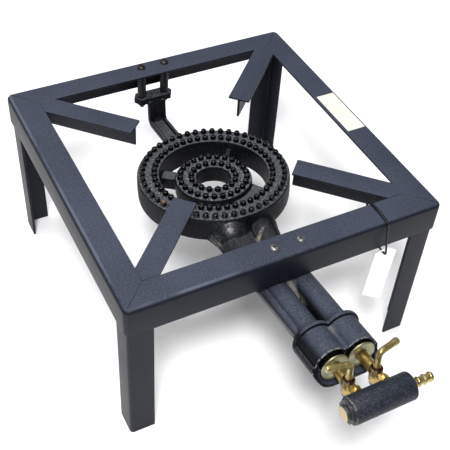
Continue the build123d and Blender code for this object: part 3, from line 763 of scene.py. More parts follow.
for side, u in TUBES.items():
    ends = [(u, LIP_BACK + 2, -TUBE_DROP), (u, TUBE_ENDS[side], -TUBE_DROP)]
    casting.rod(ends, [TUBE_RADIUS] * 2, TUBE_SIDES)
filled_web([(HUMP_FRONT, RAMP_TOP), (RAMP_CREST, RAMP_TOP), (RAMP_FRONT, -TUBE_DROP),
            (RAMP_FRONT, WEB_LOW), (HUMP_FRONT, WEB_LOW)])
filled_web(rectangle(LIP_BACK, -TUBE_DROP, HUMP_START, WEB_LOW))
casting.rows([[(u, v, w) for u, v in FIN_OUTLINE] for w in (FIN_LOW, FIN_TOP)])
flare_rows = []
for v, edge, top in FIN_FLARE:
    flare_rows.append([(u, v, w) for u, w in rectangle(edge, top, FIN_ROOT, FIN_LOW)])
casting.rows(flare_rows)
print("tubes", 2 * TUBE_RADIUS, "across,", TUBE_PITCH, "apart")

# %% [markdown]
# ## Swellings at the ring
# Where the tubes meet the outer ring the pattern swells. The left-hand tube has to climb to
# the ring's hollow, so it ends in a ball that stands almost to the rim; the right-hand one
# only widens and rises a little. Both are taken as one height over the plan and joined with
# soft creases, so the sections run smoothly from the tubes into the wall.

# %% Swellings at the ring
TUBE_TOP = TUBE_RADIUS - TUBE_DROP
HUMP_LOW, HUMP_HALF, HUMP_FOOT = -50.0, 44.0, 24.0
HUMP_LENGTH, HUMP_ROWS, HUMP_COLUMNS = 46.0, 24, 46
BALL_RADIUS, BALL_TOP = 26.0, -1.5
BALL_ACROSS, BALL_BACK = -19.0, -83.0
WIDE_SPREAD, WIDE_RISE, WIDE_SHARE = 6.0, 12.0, 0.99
FLARE_EVEN, FLARE_LATE, FLARE_POWER = 0.75, 0.25, 4.0
WEB_RISE = 9.0
FIN_LIFT, FIN_SLOPE, FIN_RISE = 1.5, 0.55, 5.0
CREASE_BLEND, FIN_BLEND = 8.0, 16.0


def soft_top(first, second, blend=CREASE_BLEND):
    """Higher of two heights, with a soft crease where they cross."""
    near = max(0.0, blend - abs(first - second)) / blend
    return max(first, second) + near * near * blend / 4


def round_top(away, radius, top):
    """Height of a round of a radius, at a distance from its middle."""
    inside = radius ** 2 - away ** 2
    return top - radius + inside ** 0.5 if inside > 0 else HUMP_LOW


def hump_top(u, back, t, grown):
    """Height of the swellings at one point of the plan."""
    wide = TUBE_RADIUS + WIDE_SPREAD * grown
    to_ball = hypot(u - BALL_ACROSS, min(0.0, back - BALL_BACK))
    ball = round_top(to_ball, BALL_RADIUS, BALL_TOP)
    left = round_top(u - TUBES["left"], TUBE_RADIUS, TUBE_TOP)
    right = round_top(u - TUBES["right"], wide, TUBE_TOP + WIDE_RISE * grown)
    web = WEB_RISE * grown + RAMP_TOP if abs(u) < TUBES["right"] else HUMP_LOW
    body = soft_top(soft_top(ball, left), soft_top(right, web))
    if u >= 0:
        return max(body, HUMP_LOW + 0.5)
    sloped = min(FIN_RISE, FIN_SLOPE * max(0.0, u + HUMP_HALF - 1))
    return soft_top(body, FIN_TOP + FIN_LIFT * t + sloped, FIN_BLEND)


hump_rows = []
for k in range(HUMP_ROWS + 1):
    back = HUMP_FRONT + HUMP_LENGTH * k / HUMP_ROWS
    t = min(1.0, max(0.0, (back - HUMP_START) / (HUMP_END - HUMP_START)))
    grown = FLARE_EVEN * t + FLARE_LATE * t ** FLARE_POWER
    edge = TUBES["right"] + WIDE_SHARE * (TUBE_RADIUS + WIDE_SPREAD * grown)
    row = [(-HUMP_FOOT, back, HUMP_LOW)]
    for column in range(HUMP_COLUMNS + 1):
        u = min(HUMP_HALF * (2 * column / HUMP_COLUMNS - 1), edge)
        row.append((u, back, hump_top(u, back, t, grown)))
    hump_rows.append(row + [(edge, back, HUMP_LOW)])
casting.rows(hump_rows)
print("ball", 2 * BALL_RADIUS, "across stands to", BALL_TOP, "below the ring's face")

# %% [markdown]
# ## Mouths
# The tubes open to the front in one casting shaped like an eight. Each half is a turned wall
# with the mouth left open, a raised lip behind it and an upright bar across the mouth that
# holds the end of the cock's tube.

# %% Walls of the mouths
MOUTH_FRONT, MOUTH_RADIUS, MOUTH_STEP = -308.0, 17.0, 3.0
COLLAR_RADIUS, COLLAR_BACK, COLLAR_DRAFT = 20.0, -272.0, 0.4
LIP_RADIUS, LIP_FLARE = 24.0, 18.0
FLARE_BACK, COLLAR_END = LIP_BACK + 4, LIP_BACK + 13
COLLAR_ROUNDS = (0.8, 0.8, 0.2, 0.8, 1.0, 2.5, 4.0, 0.5, 0.5, 0.5)
WALL_MIDDLE = 18.4
BRIDGE_HALF, BRIDGE_ENDS = 7.5, (-306.0, -296.0)

collar = [(MOUTH_RADIUS, MOUTH_FRONT), (COLLAR_RADIUS, MOUTH_FRONT)]
collar += [(COLLAR_RADIUS + COLLAR_DRAFT, COLLAR_BACK), (LIP_RADIUS, COLLAR_BACK)]
collar += [(LIP_RADIUS, LIP_BACK), (LIP_FLARE, FLARE_BACK), (TUBE_RADIUS - 0.5, COLLAR_END)]
collar += [(MOUTH_RADIUS - MOUTH_STEP, COLLAR_END), (MOUTH_RADIUS - MOUTH_STEP, LIP_BACK)]
collar = rounded(collar + [(MOUTH_RADIUS, LIP_BACK)], COLLAR_ROUNDS, 3)
bridge = rectangle(-BRIDGE_HALF, WALL_MIDDLE, BRIDGE_HALF, -WALL_MIDDLE)
along_back = Matrix.Rotation(radians(-90), 4, "X")
for u in TUBES.values():
    placed = Matrix.Translation((u, 0, -TUBE_DROP)) @ along_back
    casting.turned(collar, TUBE_SIDES, placed, loop=True)
    bar = [(u + across, up - TUBE_DROP) for across, up in bridge]
    casting.rows([[(across, v, up) for across, up in bar] for v in BRIDGE_ENDS])
print("mouths", 2 * MOUTH_RADIUS, "across")

# %% [markdown]
# Between the two walls lies a soft saddle on top, and below it the metal is thicker and runs
# forward as a chin. Fillers with one outline from front to back make these; their outlines
# bend in between the mouths, so that both openings stay clear.

# %% Saddle, belly and chin
CHIN_FRONT, CHIN_INSIDE, CHIN_RADIUS = -319.0, 19.4, 24.0
CHIN_STEPS, CHIN_RISE = 24, 60
CHIN_TURNS = {"left": (176, 274), "right": (364, 266)}
SADDLE_TOP = 13.3
SADDLE_HALF = ((9.0, SADDLE_TOP + 2.4), (4.5, SADDLE_TOP + 0.6), (0.0, SADDLE_TOP))
WAIST_HALF = ((3.2, 10.4), (0.0, 4.6))
BELLY_HALF = ((17.0, -CHIN_RADIUS), (17.0, -18.0), (10.0, -16.4), (3.2, -10.4), (0.0, -4.6))
SCOOP_HALF = ((17.0, -CHIN_RADIUS), (17.0, -CHIN_INSIDE), (9.0, 2.0 - CHIN_INSIDE))
SCOOP_HALF += ((0.0, 6.0 - CHIN_INSIDE),)
SEAM_TURNS, SEAM_FOOT, SEAM_REACH = (196.0, 202.0), 18.5, 22.4


def eased_share(t):
    """Share that starts and ends gently."""
    return t * t * (3 - 2 * t)


def both_sides(half):
    """Outline from its right half, which ends on the middle line."""
    return list(half) + [(-u, w) for u, w in reversed(half[:-1])]


def on_wall(u, radius, angle):
    """Point of a mouth's wall, seen from the front."""
    return (u + radius * cos(radians(angle)), radius * sin(radians(angle)))


def between_mouths(outline, front, back):
    """Filler with one outline from front to back."""
    casting.rows([[(u, v, w - TUBE_DROP) for u, w in outline] for v in (front, back)])


between_mouths(both_sides(SADDLE_HALF)[::-1] + both_sides(WAIST_HALF), MOUTH_FRONT + 0.6, LIP_BACK)
between_mouths(both_sides(BELLY_HALF), MOUTH_FRONT + 1.0, COLLAR_BACK + 2)
between_mouths(both_sides(SCOOP_HALF), CHIN_FRONT, MOUTH_FRONT + 3)
for side, (first, last) in CHIN_TURNS.items():
    rows = []
    for k in range(CHIN_STEPS + 1):
        angle = first + (last - first) * k / CHIN_STEPS
        forward = eased_share(min(1.0, abs(angle - first) / CHIN_RISE))
        front = MOUTH_FRONT + 1 + (CHIN_FRONT - MOUTH_FRONT - 1) * forward
        inner, outer = (on_wall(TUBES[side], r, angle) for r in (CHIN_INSIDE, CHIN_RADIUS))
        back = COLLAR_BACK + 2
        section = ((inner, front), (outer, front), (outer, back), (inner, back))
        rows.append([(u, v, w - TUBE_DROP) for (u, w), v in section])
    casting.rows(rows)
seam_ends = [(SEAM_FOOT, SEAM_TURNS[0]), (SEAM_REACH, SEAM_TURNS[0])]
seam_ends += [(SEAM_REACH, SEAM_TURNS[1]), (SEAM_FOOT, SEAM_TURNS[1])]
seam = [on_wall(TUBES["left"], radius, angle) for radius, angle in seam_ends]
between_mouths(seam, MOUTH_FRONT + 0.6, COLLAR_BACK)
print("chin runs forward to", CHIN_FRONT)

# %% [markdown]
# ## Rear arm
# The burner hangs from the stand by three cast features. The first is a channel-shaped arm
# that runs back from the outer ring and turns up. It is a U outline carried along a bent
# line, with the round of the bend in small steps.

# %% Rear arm
ARM_HALF, ARM_PLATE = 12.5, 5.0
ARM_RIB, ARM_RIB_WIDTH, ARM_RIB_DRAFT = 3.0, 4.0, 1.0
ARM_START, ARM_RUN = 93.0, -28.5
ARM_BEND, ARM_STEPS = 9.0, 12
LUG_HALF, LUG_LOW, LUG_TOP = 10.0, 172.5, 181.0
SCREW_ACROSS, FRONT_SCREW, REAR_SCREW = 16.75, -182.0, 186.0

seat = from_stand(0, REAR_SCREW - LUG_HALF, (LUG_LOW + LUG_TOP) / 2)
bend_back, bend_up = seat.y - ARM_BEND, ARM_RUN + ARM_BEND
arm_line = [((ARM_START, ARM_RUN), 90.0), ((bend_back - 1, ARM_RUN), 90.0)]
for k in range(ARM_STEPS + 1):
    angle = 90.0 * k / ARM_STEPS
    back = bend_back + ARM_BEND * sin(radians(angle))
    arm_line.append(((back, bend_up - ARM_BEND * cos(radians(angle))), 90.0 + angle))
arm_line.append(((seat.y, seat.z), 180.0))
plate, rib = ARM_PLATE / 2, ARM_HALF - ARM_RIB_WIDTH
channel = [(ARM_HALF, -plate), (ARM_HALF, plate + ARM_RIB), (rib, plate + ARM_RIB)]
channel += [(rib - ARM_RIB_DRAFT, plate)]
channel += [(-across, rise) for across, rise in reversed(channel)]
arm_rows = []
for (back, up), facing in arm_line:
    lift = (cos(radians(facing)), sin(radians(facing)))
    arm_rows.append([(u, back + rise * lift[0], up + rise * lift[1]) for u, rise in channel])
casting.rows(arm_rows)
print("arm ends", round(seat.y, 1), "behind the middle of the rings")

# %% [markdown]
# ## Lug and bosses
# The other two features are a level cross-piece on the arm's end for the rear screws, and
# two bosses on the tubes, joined by a web, for the front ones. They are level with the
# stand, so their points are turned into the burner's frame.

# %% Lug and bosses
BOSS_RADIUS, BOSS_HEIGHT, BOSS_SIDES = 9.0, 27.0, 32
BOSS_TOP = 195.87
BOSS_RINGS = ((BOSS_RADIUS + 1.5, BOSS_TOP - BOSS_HEIGHT), (BOSS_RADIUS + 0.3, BOSS_TOP - 9.0))
BOSS_RINGS += ((BOSS_RADIUS, BOSS_TOP - 0.8), (BOSS_RADIUS - 0.8, BOSS_TOP))
LUG_TURNS = ((SCREW_ACROSS, (-60, 0, 60)), (-SCREW_ACROSS, (120, 180, 240)))
BOSS_WEB_HALF, BOSS_WEB_DROP = 4.0, 4.5

lug_reach = LUG_HALF / cos(radians(30))
lug_outline = []
for x, turns in LUG_TURNS:
    for turn in turns:
        ahead = (cos(radians(turn)), sin(radians(turn)))
        lug_outline.append((x + lug_reach * ahead[0], REAR_SCREW + lug_reach * ahead[1]))
casting.rows([[from_stand(x, y, z) for x, y in lug_outline] for z in (LUG_LOW, LUG_TOP)])
for x in (-SCREW_ACROSS, SCREW_ACROSS):
    rows = []
    for r, z in BOSS_RINGS:
        ring = [(x + r * c, FRONT_SCREW + r * s) for c, s in circle(BOSS_SIDES)]
        rows.append([from_stand(across, back, z) for across, back in ring])
    casting.rows(rows)
web_front, web_back = FRONT_SCREW - BOSS_WEB_HALF, FRONT_SCREW + BOSS_WEB_HALF
web_plan = rectangle(-SCREW_ACROSS, web_front, SCREW_ACROSS, web_back)
web_heights = (BOSS_TOP - BOSS_HEIGHT, BOSS_TOP - BOSS_WEB_DROP)
casting.rows([[from_stand(x, y, z) for x, y in web_plan] for z in web_heights])
print("casting drawn with", len(casting.points), "points")

# %% [markdown]
# ## Melting the casting into one skin
# The closed shapes now overlap like pieces of a wooden pattern. A voxel remesh makes one
# skin round all of them, and a few rounds of smoothing turn its corners into the soft
# fillets of a real casting. The voxel is small enough to keep the fin and the lip.

# %% Melted casting
VOXEL = 0.95
SOFTENING = 4


def settle(made):
    """Keeps what the modifiers make of a piece as its own mesh."""
    bpy.context.view_layer.update()
    made_now = made.evaluated_get(bpy.context.evaluated_depsgraph_get())
    skin = bpy.data.meshes.new_from_object(made_now)
    made.modifiers.clear()
    made.data = skin


cast = piece("cast_burner", casting, iron, ["burner_casting"], burner)
fuse = cast.modifiers.new("fuse", "REMESH")
fuse.mode = "VOXEL"
fuse.voxel_size = VOXEL * MM
fuse.use_smooth_shade = True
soften = cast.modifiers.new("soften", "SMOOTH")
soften.factor = 0.5
soften.iterations = SOFTENING
settle(cast)
print("casting skin", len(cast.data.polygons), "faces")

# %% [markdown]
# Where the two swellings run into the ring, the pattern maker leaves a larger fillet than
# elsewhere. So the points there are softened more times: a weight for each point says how
# much, rising along the tubes and fading out below the rim of the ring and at the fin.

# %% Large fillet at the ring
FILLET_FRONT, FILLET_FULL, FILLET_BACK = -134.0, -118.0, -70.0
FILLET_RIM, FILLET_FADE, FILLET_FIN = -2.5, 5.0, -41.0
FILLET_ROUNDS = 14


def fillet_share(point):
    """How much one point of the casting, in millimetres, takes part in the fillet."""
    if not FILLET_FRONT < point.y < FILLET_BACK or point.z > FILLET_RIM:
        return 0.0
    along = eased_share(min(1.0, (point.y - FILLET_FRONT) / (FILLET_FULL - FILLET_FRONT)))
    inward = eased_share(min(1.0, max(0.0, point.x - FILLET_FIN) / FILLET_FADE))
    return along * inward * eased_share(min(1.0, (FILLET_RIM - point.z) / FILLET_FADE))


shares = cast.vertex_groups.new(name="fillet")
for point in cast.data.vertices:
    share = fillet_share(point.co / MM)
    if share > 0:
        shares.add([point.index], share, "REPLACE")
fillet = cast.modifiers.new("fillet", "SMOOTH")
fillet.vertex_group = shares.name
fillet.iterations = FILLET_ROUNDS
settle(cast)
cast.vertex_groups.clear()
print("fillet softened", FILLET_ROUNDS, "times")

# %% [markdown]
# ## Port nipples
# Gas leaves through rows of small raised nipples, each drilled down its middle. One turned
# outline gives the foot, the round shoulder and the hole, and it is set round the rings in
# four rows, with the same counts and radii as in the solid casting.

# %% Port nipples
NIPPLE_SIDES = 14
NIPPLE_OUTLINE = [(4.3, -0.8), (4.0, 0.1), (3.85, 0.8), (3.75, 2.6), (3.55, 3.9), (3.2, 4.7)]
NIPPLE_OUTLINE += [(2.75, 5.15), (2.2, 5.3), (1.5, 5.25), (1.25, 5.0), (1.2, 1.0)]
NIPPLE_ROWS = ((89.6, 50, 0.0), (74.4, 45, 0.0), (42.1, 25, -INNER_STEP), (28.1, 17, -INNER_STEP))

nipples = Shape()
for radius, count, face in NIPPLE_ROWS:
    for c, s in circle(count):
        placed = Matrix.Translation((radius * c, radius * s, face))
        nipples.turned(NIPPLE_OUTLINE, NIPPLE_SIDES, placed)
piece("port_nipples", nipples, nipple, place=burner)
print("nipples", sum(count for radius, count, face in NIPPLE_ROWS))

# %% [markdown]
# ## Brass
# The cocks, the end plug and the hose nipple are brass bar, turned and then left bare. New
# brass is bright yellow; handling dulls it, and flux and heat leave red-brown patches round
# the plug. In a cock's own frame the plug stands at the middle, so the distance from there
# is the mask for the tarnish.

# %% Brass finishes
TARNISH_NEAR, TARNISH_FADE, TARNISH_RAGGED = 0.0095, 0.0022, 0.006
TARNISH_FOOT, TARNISH_TOP = (-6.0, 1.0), (11.5, 8.5)
TARNISH_SQUASH = (1.0, 1.0, 0.35)


def plug_tarnish(finish):
    """Tarnish round the upright axis of a cock, with a ragged edge."""
    squash = {0: finish.place(), 1: TARNISH_SQUASH}
    flat = finish.node("VectorMath", {"operation": "MULTIPLY"}, squash)
    away = finish.node("VectorMath", {"operation": "LENGTH"}, {0: flat}, output="Value")
    ragged = away + TARNISH_RAGGED * finish.cloud(330.0, 3.0, 0.6)
    burnt = finish.step(ragged, TARNISH_NEAR + TARNISH_FADE, TARNISH_NEAR)
    return burnt * finish.band("Z", TARNISH_FOOT, TARNISH_TOP)


def brass(name, deep, pale, tarnished):
    """Bare brass with dull patches, and tarnish round the plug where asked."""
    finish = Finish(name)
    patch = finish.cloud(120.0, 4.0, 0.6)
    stain = finish.step(patch, 0.50, 0.68) * 0.7
    if tarnished:
        stain = (stain + plug_tarnish(finish)).at_most(1.0)
    bright = finish.blend(patch, deep, pale)
    turning = finish.cloud(900.0, 2.0, stretch=(1.0, 0.2, 1.0))
    finish.set(Base_Color=finish.blend(stain, bright, rgb(34, 14, 10)), Specular_IOR_Level=0.25)
    finish.set(Metallic=0.95 - 0.95 * stain, Roughness=0.24 + 0.12 * patch)
    finish.set(Normal=finish.bump(turning, 0.00006, 0.4))
    return finish


cock_brass = brass("cock_brass", rgb(142, 118, 62), rgb(186, 162, 98), True)
nipple_brass = brass("nipple_brass", rgb(166, 150, 92), rgb(206, 192, 138), False)
print("finishes", cock_brass.name, nipple_brass.name)

# %% [markdown]
# ## Zinc
# Levers and air shutters are steel plated with zinc and given a yellow passivation. It is a
# thin film, so it goes from straw to a green tint in patches and the metal still shines
# through. Screws and nuts have the same plate in its plain grey, and the cross recess of the
# front screws is darkened as painted shade; the rear screws and the sleeves are dark.

# %% Zinc finishes
RECESS, RECESS_CORE = 3.3, 0.8
RECESS_RIM, RECESS_FADE = STAND_TOP + 3.25, 0.3


def recess_shade(finish):
    """Painted shade in the recess of the front screws: near a screw's axis and below the rim."""
    across, square = finish.axis("X"), RECESS ** 2 * MM * MM
    out = across.at_least(0.0 - across) - SCREW_ACROSS * MM
    back = finish.axis("Y") - FRONT_SCREW * MM
    inside = finish.step(out * out + back * back, square, RECESS_CORE * square)
    return inside * finish.along("Z", RECESS_RIM, RECESS_RIM - RECESS_FADE)


def zinc(name, pale, deep, roughness, recessed=False):
    """Plated steel with a film that drifts between two tints, and painted shade in the screw
    recesses where asked.
    """
    finish = Finish(name)
    drift = finish.cloud(70.0, 4.0, 0.6)
    film = finish.step(drift, 0.32, 0.68)
    tint, metal = finish.blend(film, pale, deep), 0.85 - 0.2 * film
    if recessed:
        # Painted shade: the cross recess is darkened and made less metallic.
        recess_dark = recess_shade(finish)
        tint, metal = finish.blend(recess_dark, tint, rgb(14, 14, 15)), metal * (1.0 - recess_dark)
    finish.set(Base_Color=tint, Metallic=metal, Roughness=roughness + 0.14 * drift)
    finish.set(Normal=finish.bump(finish.cloud(1200.0, 2.0), 0.00006, 0.35))
    return finish


lever_zinc = zinc("lever_zinc", rgb(176, 162, 112), rgb(112, 98, 56), 0.22)
shutter_zinc = zinc("shutter_zinc", rgb(150, 147, 118), rgb(110, 107, 80), 0.32)
bolt_zinc = zinc("bolt_zinc", rgb(138, 138, 139), rgb(96, 96, 98), 0.34, recessed=True)
bolt_dark = zinc("bolt_dark", rgb(70, 66, 62), rgb(38, 37, 37), 0.38)
sleeve_steel = zinc("sleeve_steel", rgb(46, 47, 50), rgb(26, 27, 29), 0.40)
print("finishes", lever_zinc.name, shutter_zinc.name, bolt_zinc.name)

# %% [markdown]
# ## Cocks
# Each cock is a straight brass tube between the feed pipe and a mouth, with an upright
# barrel for its plug and six flats near the pipe for a spanner. All three are turned or
# milled shapes with small chamfers, which are what catch the light.

# %% Cock bodies
COCK_TUBE, TUBE_EASE = 5.5, 0.4
COCK_OUTLET, COCK_INLET = 42.0, -22.0
RUN_RADIUS, RUN_END = 6.3, 31.0
RUN_NOSE = ((0.0, -0.8), (-0.3, -0.2))
BARREL_RADIUS, BARREL_TOP, BARREL_FOOT = 7.0, 7.0, -12.0
BARREL_LOWER = ((-1.2, 0.0), (-0.4, 0.6), (0.0, 2.5))
BARREL_UPPER = ((0.0, -1.0), (-0.3, -0.3), (-0.9, 0.0))
INLET_FLATS, INLET_LOW, INLET_HIGH = 13.0, -14.7, -8.7
FULL_CORNER, CORNER_EASE, CORNER_OVER = 99.0, 0.8, 0.1
HEX_SIDES, ROUND_SIDES = 72, 32


def stepped(radius, height, steps):
    """Part of a turned profile, as steps out from a radius and up from a height."""
    return [(radius + out, height + up) for out, up in steps]


def eased_bar(radius, low, high, ease):
    """Profile of a round bar with a small chamfer at both ends."""
    upper = stepped(radius, high, ((0.0, -ease), (-ease, 0.0)))
    return stepped(radius, low, ((-ease, 0.0), (0.0, ease))) + upper


def six_sided(shape, across_flats, stations, place=Matrix()):
    """Six-sided bar; a station is a height and the radius its corners are turned down to."""
    turns = [2 * pi * k / HEX_SIDES for k in range(HEX_SIDES)]
    rows = []
    for height, limit in stations:
        row = []
        for turn in turns:
            flat = across_flats / 2 / cos((turn + pi / 6) % (pi / 3) - pi / 6)
            reach = min(flat, limit)
            row.append(place @ Vector((reach * cos(turn), reach * sin(turn), height)))
        rows.append(row)
    return shape.rows(rows)


def hexagon(shape, across_flats, low, high, place=Matrix()):
    """Six-sided bar with its corners turned off at both ends."""
    off = across_flats / 2 + CORNER_OVER
    stations = [(low, off), (low + CORNER_EASE, FULL_CORNER)]
    stations += [(high - CORNER_EASE, FULL_CORNER), (high, off)]
    return six_sided(shape, across_flats, stations, place)


barrel = stepped(BARREL_RADIUS, BARREL_FOOT, BARREL_LOWER)
barrel += stepped(BARREL_RADIUS, BARREL_TOP, BARREL_UPPER)
run = [(RUN_RADIUS, 0.0)] + stepped(RUN_RADIUS, RUN_END, RUN_NOSE)
run += [(COCK_TUBE - 0.2, RUN_END)]
cock_frames = {}
for side, u in TUBES.items():
    placed = burner @ Matrix.Translation(Vector((u, COCK_BACK, -TUBE_DROP)) * MM)
    cock_frames[side] = placed
    tube = eased_bar(COCK_TUBE, COCK_INLET, COCK_OUTLET, TUBE_EASE)
    cock = Shape().turned(tube, ROUND_SIDES, along_back).turned(run, ROUND_SIDES, along_back)
    cock.turned(barrel, ROUND_SIDES)
    hexagon(cock, INLET_FLATS, INLET_LOW, INLET_HIGH, along_back)
    piece("cock_of_brass_" + side, cock, cock_brass, ["cock_body_" + side], placed)
print("cocks", 2 * BARREL_RADIUS, "across the barrel")

# %% [markdown]
# ## Plugs and levers
# The tapered plug turns in the barrel, and a rod bent over above it is the handle. The rod
# is swept along its bend and swells to a rounded end. It is steel while the short neck under
# it is brass, so the two are separate pieces that turn together with the plug's body.

# %% Plugs and levers
LEVER_RADIUS, LEVER_SIDES = 3.65, 24
LEVER_RISE, LEVER_BEND, LEVER_REACH = 29.5, 5.8, 27.0
LEVER_HEADING = {"left": 168.0, "right": 12.0}
KNOB_SWELL = 0.45
KNOB = ((9.0, 0.0), (7.0, 0.7), (5.0, 1.0), (2.4, 1.0))
KNOB += ((1.2, 0.75), (0.5, 0.1), (0.1, -1.2), (0.0, -2.4))
NECK_TOP, NECK_SIDES = 13.0, 28
NECK_FOOT = ((4.9, -3.0), (4.9, 0.4), (4.4, 0.8), (3.9, 1.6))
NECK_BEAD = ((3.8, -2.0), (4.2, -1.7), (4.3, -0.9), (4.1, -0.2), (3.4, 0.0))
NUT_FLATS, NUT_TOP, NUT_LOW = 10.0, -12.3, -17.3
STUD = ((2.6, -2.0), (3.0, -1.5), (3.0, 0.5))
STUD_SIDES = 20

neck = stepped(0.0, BARREL_TOP, NECK_FOOT) + stepped(0.0, NECK_TOP, NECK_BEAD)
bend_height = LEVER_RISE - LEVER_BEND
lever_path = [(0, 0, NECK_TOP - 1), (0, 0, bend_height - 1)]
for k in range(11):
    angle = radians(9 * k)
    ahead, rise = LEVER_BEND - LEVER_BEND * cos(angle), LEVER_BEND * sin(angle)
    lever_path.append((ahead, 0, bend_height + rise))
lever_radii = [LEVER_RADIUS] * len(lever_path)
lever_path += [(LEVER_REACH - short, 0, LEVER_RISE) for short, swell in KNOB]
lever_radii += [LEVER_RADIUS + KNOB_SWELL * swell for short, swell in KNOB]
for side, placed in cock_frames.items():
    body = "cock_" + side
    turned_shut = placed @ spun(LEVER_HEADING[side])
    plug = Shape().turned(neck, NECK_SIDES)
    piece("plug_neck_" + side, plug, cock_brass, (), turned_shut, body)
    lever = Shape().rod(lever_path, lever_radii, LEVER_SIDES)
    piece("bent_lever_" + side, lever, lever_zinc, ["cock_plug_" + side], turned_shut, body)
    nut = hexagon(Shape(), NUT_FLATS, NUT_LOW, NUT_TOP)
    nut.turned(stepped(0.0, NUT_LOW, STUD), STUD_SIDES)
    piece("plug_nut_of_zinc_" + side, nut, bolt_zinc, ["plug_nut_" + side], placed, body)
print("levers reach", LEVER_REACH, "from the plug")

# %% [markdown]
# ## Air shutters
# A shutter is a stamped steel disc that slides along the cock's tube to let in more or less
# air. Stamping leaves one edge round and the other sharp, and draws the middle in a little
# round the hole.

# %% Air shutters
SHUTTER_RADIUS, SHUTTER_THICK, SHUTTER_SIDES = 16.5, 2.0, 64
SHUTTER_HOLE = RUN_RADIUS + 0.2
SHUTTER_GAP = {"left": 4.5, "right": 2.2}
SHUTTER_BACK = ((-0.3, 0.0), (0.0, -0.3))
SHUTTER_FRONT = ((0.0, 0.8), (-0.3, 0.25), (-0.9, 0.0))
SHUTTER_EYE = ((2.2, 0.0), (0.9, 0.15), (0.0, 0.6))

disc = [(SHUTTER_HOLE, 0.0)] + stepped(SHUTTER_RADIUS, 0.0, SHUTTER_BACK)
disc += stepped(SHUTTER_RADIUS, -SHUTTER_THICK, SHUTTER_FRONT)
disc += stepped(SHUTTER_HOLE, -SHUTTER_THICK, SHUTTER_EYE)
for side, u in TUBES.items():
    middle = Vector((u, MOUTH_FRONT - SHUTTER_GAP[side], -TUBE_DROP))
    placed = burner @ Matrix.Translation(middle * MM) @ along_back
    shutter = Shape().turned(disc, SHUTTER_SIDES, loop=True)
    node, body = "air_shutter_" + side, "shutter_" + side
    piece("shutter_disc_" + side, shutter, shutter_zinc, [node], placed, body)
print("shutters", 2 * SHUTTER_RADIUS, "across")

# %% [markdown]
# ## Feed pipe
# The feed pipe is a thick steel pipe painted dark, with its ends turned round. The paint is
# rough with grit, and it has chipped along the left edge, which is found from its place
# along the pipe. The pipe lies level with the burner and is turned into place point by point.

# %% Feed pipe
PIPE_BACK, PIPE_RADIUS, PIPE_SIDES = -368.0, 15.25, 64
PIPE_LEFT, PIPE_RIGHT = -35.5, 38.0
PIPE_END = ((-6.5, 0.0), (-1.6, 0.0), (-0.5, 0.5), (0.0, 1.7))
CHIP_RIGHT, CHIP_LEFT = (-33.8, -34.5), (-35.6, -35.3)

pipe = Finish("manifold_steel")
pipe_patch = pipe.cloud(60.0, 5.0, 0.65)
pipe_grain = pipe.cloud(420.0, 4.0, 0.7)
pipe_chips = pipe.band("X", CHIP_RIGHT, CHIP_LEFT) * pipe.step(pipe.cloud(170.0, 4.0), 0.44, 0.66)
pipe_colour = pipe.coats(
    pipe.blend(pipe_patch, rgb(24, 26, 32), rgb(36, 40, 48)),
    (pipe.step(pipe_grain, 0.45, 0.75) * 0.45, rgb(78, 84, 96)),
    (pipe_chips * 0.5, rgb(150, 148, 138)))
pipe.set(Base_Color=pipe_colour, Roughness=0.42 + 0.2 * pipe_patch, Specular_IOR_Level=0.2)
pipe.set(Normal=pipe.bump(pipe_grain, 0.0005, 0.6))

along_across = Matrix.Rotation(radians(90), 4, "Y")
pipe_middle = burner @ (Vector((0, PIPE_BACK, -TUBE_DROP)) * MM) / MM
pipe_frame = Matrix.Translation(pipe_middle) @ burner.to_3x3().to_4x4() @ along_across
ends = stepped(PIPE_RADIUS, PIPE_LEFT, PIPE_END)
ends += stepped(PIPE_RADIUS, PIPE_RIGHT, [(out, -on) for out, on in reversed(PIPE_END)])
feed = Shape().turned(ends, PIPE_SIDES, pipe_frame)
piece("feed_pipe", feed, pipe, ["gas_manifold"])
print("feed pipe", PIPE_RIGHT - PIPE_LEFT, "long")

# %% [markdown]
# ## End plug
# A plug with a wide six-sided head shuts the pipe's left end. The paint has gone over the
# flats, but the round boss on the head is bare brass at its end, which is the only face that
# looks to the left that far out.

# %% End plug
PLUG_FLATS, PLUG_THICK = 23.5, 3.6
PLUG_BOSS, PLUG_BOSS_LENGTH, PLUG_SIDES = 8.7, 4.0, 48
PLUG_NOSE = ((-1.0, 0.0), (-0.3, 0.3), (0.0, 1.0))
PLUG_END = (-41.0, -42.5)

plug_brass = Finish("plug_brass")
plug_patch = plug_brass.cloud(150.0, 4.0)
plug_end = plug_brass.toward("X", -0.80, -0.95) * plug_brass.along("X", *PLUG_END)
plug_bare = (plug_end + plug_brass.step(plug_patch, 0.60, 0.72) * 0.5).at_most(1.0)
plug_paint = plug_brass.blend(plug_patch, rgb(26, 28, 33), rgb(46, 48, 52))
plug_brass.set(Base_Color=plug_brass.blend(plug_bare, plug_paint, rgb(176, 160, 124)))
plug_brass.set(Metallic=0.85 * plug_bare, Roughness=0.46 - 0.12 * plug_bare)
plug_brass.set(Normal=plug_brass.bump(plug_brass.cloud(600.0, 2.0), 0.00012, 0.4))

head_end = PIPE_LEFT - PLUG_THICK
boss_end = head_end - PLUG_BOSS_LENGTH
plug_stations = [(head_end, PLUG_FLATS / 2 + CORNER_OVER), (head_end + 0.9, FULL_CORNER)]
plug_stations += [(PIPE_LEFT + 0.2, FULL_CORNER)]
end_plug = six_sided(Shape(), PLUG_FLATS, plug_stations, pipe_frame)
plug_boss = stepped(PLUG_BOSS, boss_end, PLUG_NOSE) + [(PLUG_BOSS, head_end + 0.5)]
end_plug.turned(plug_boss, PLUG_SIDES, pipe_frame)
piece("pipe_end_plug", end_plug, plug_brass, ["manifold_plug"])
print("end plug", PLUG_FLATS, "across flats")

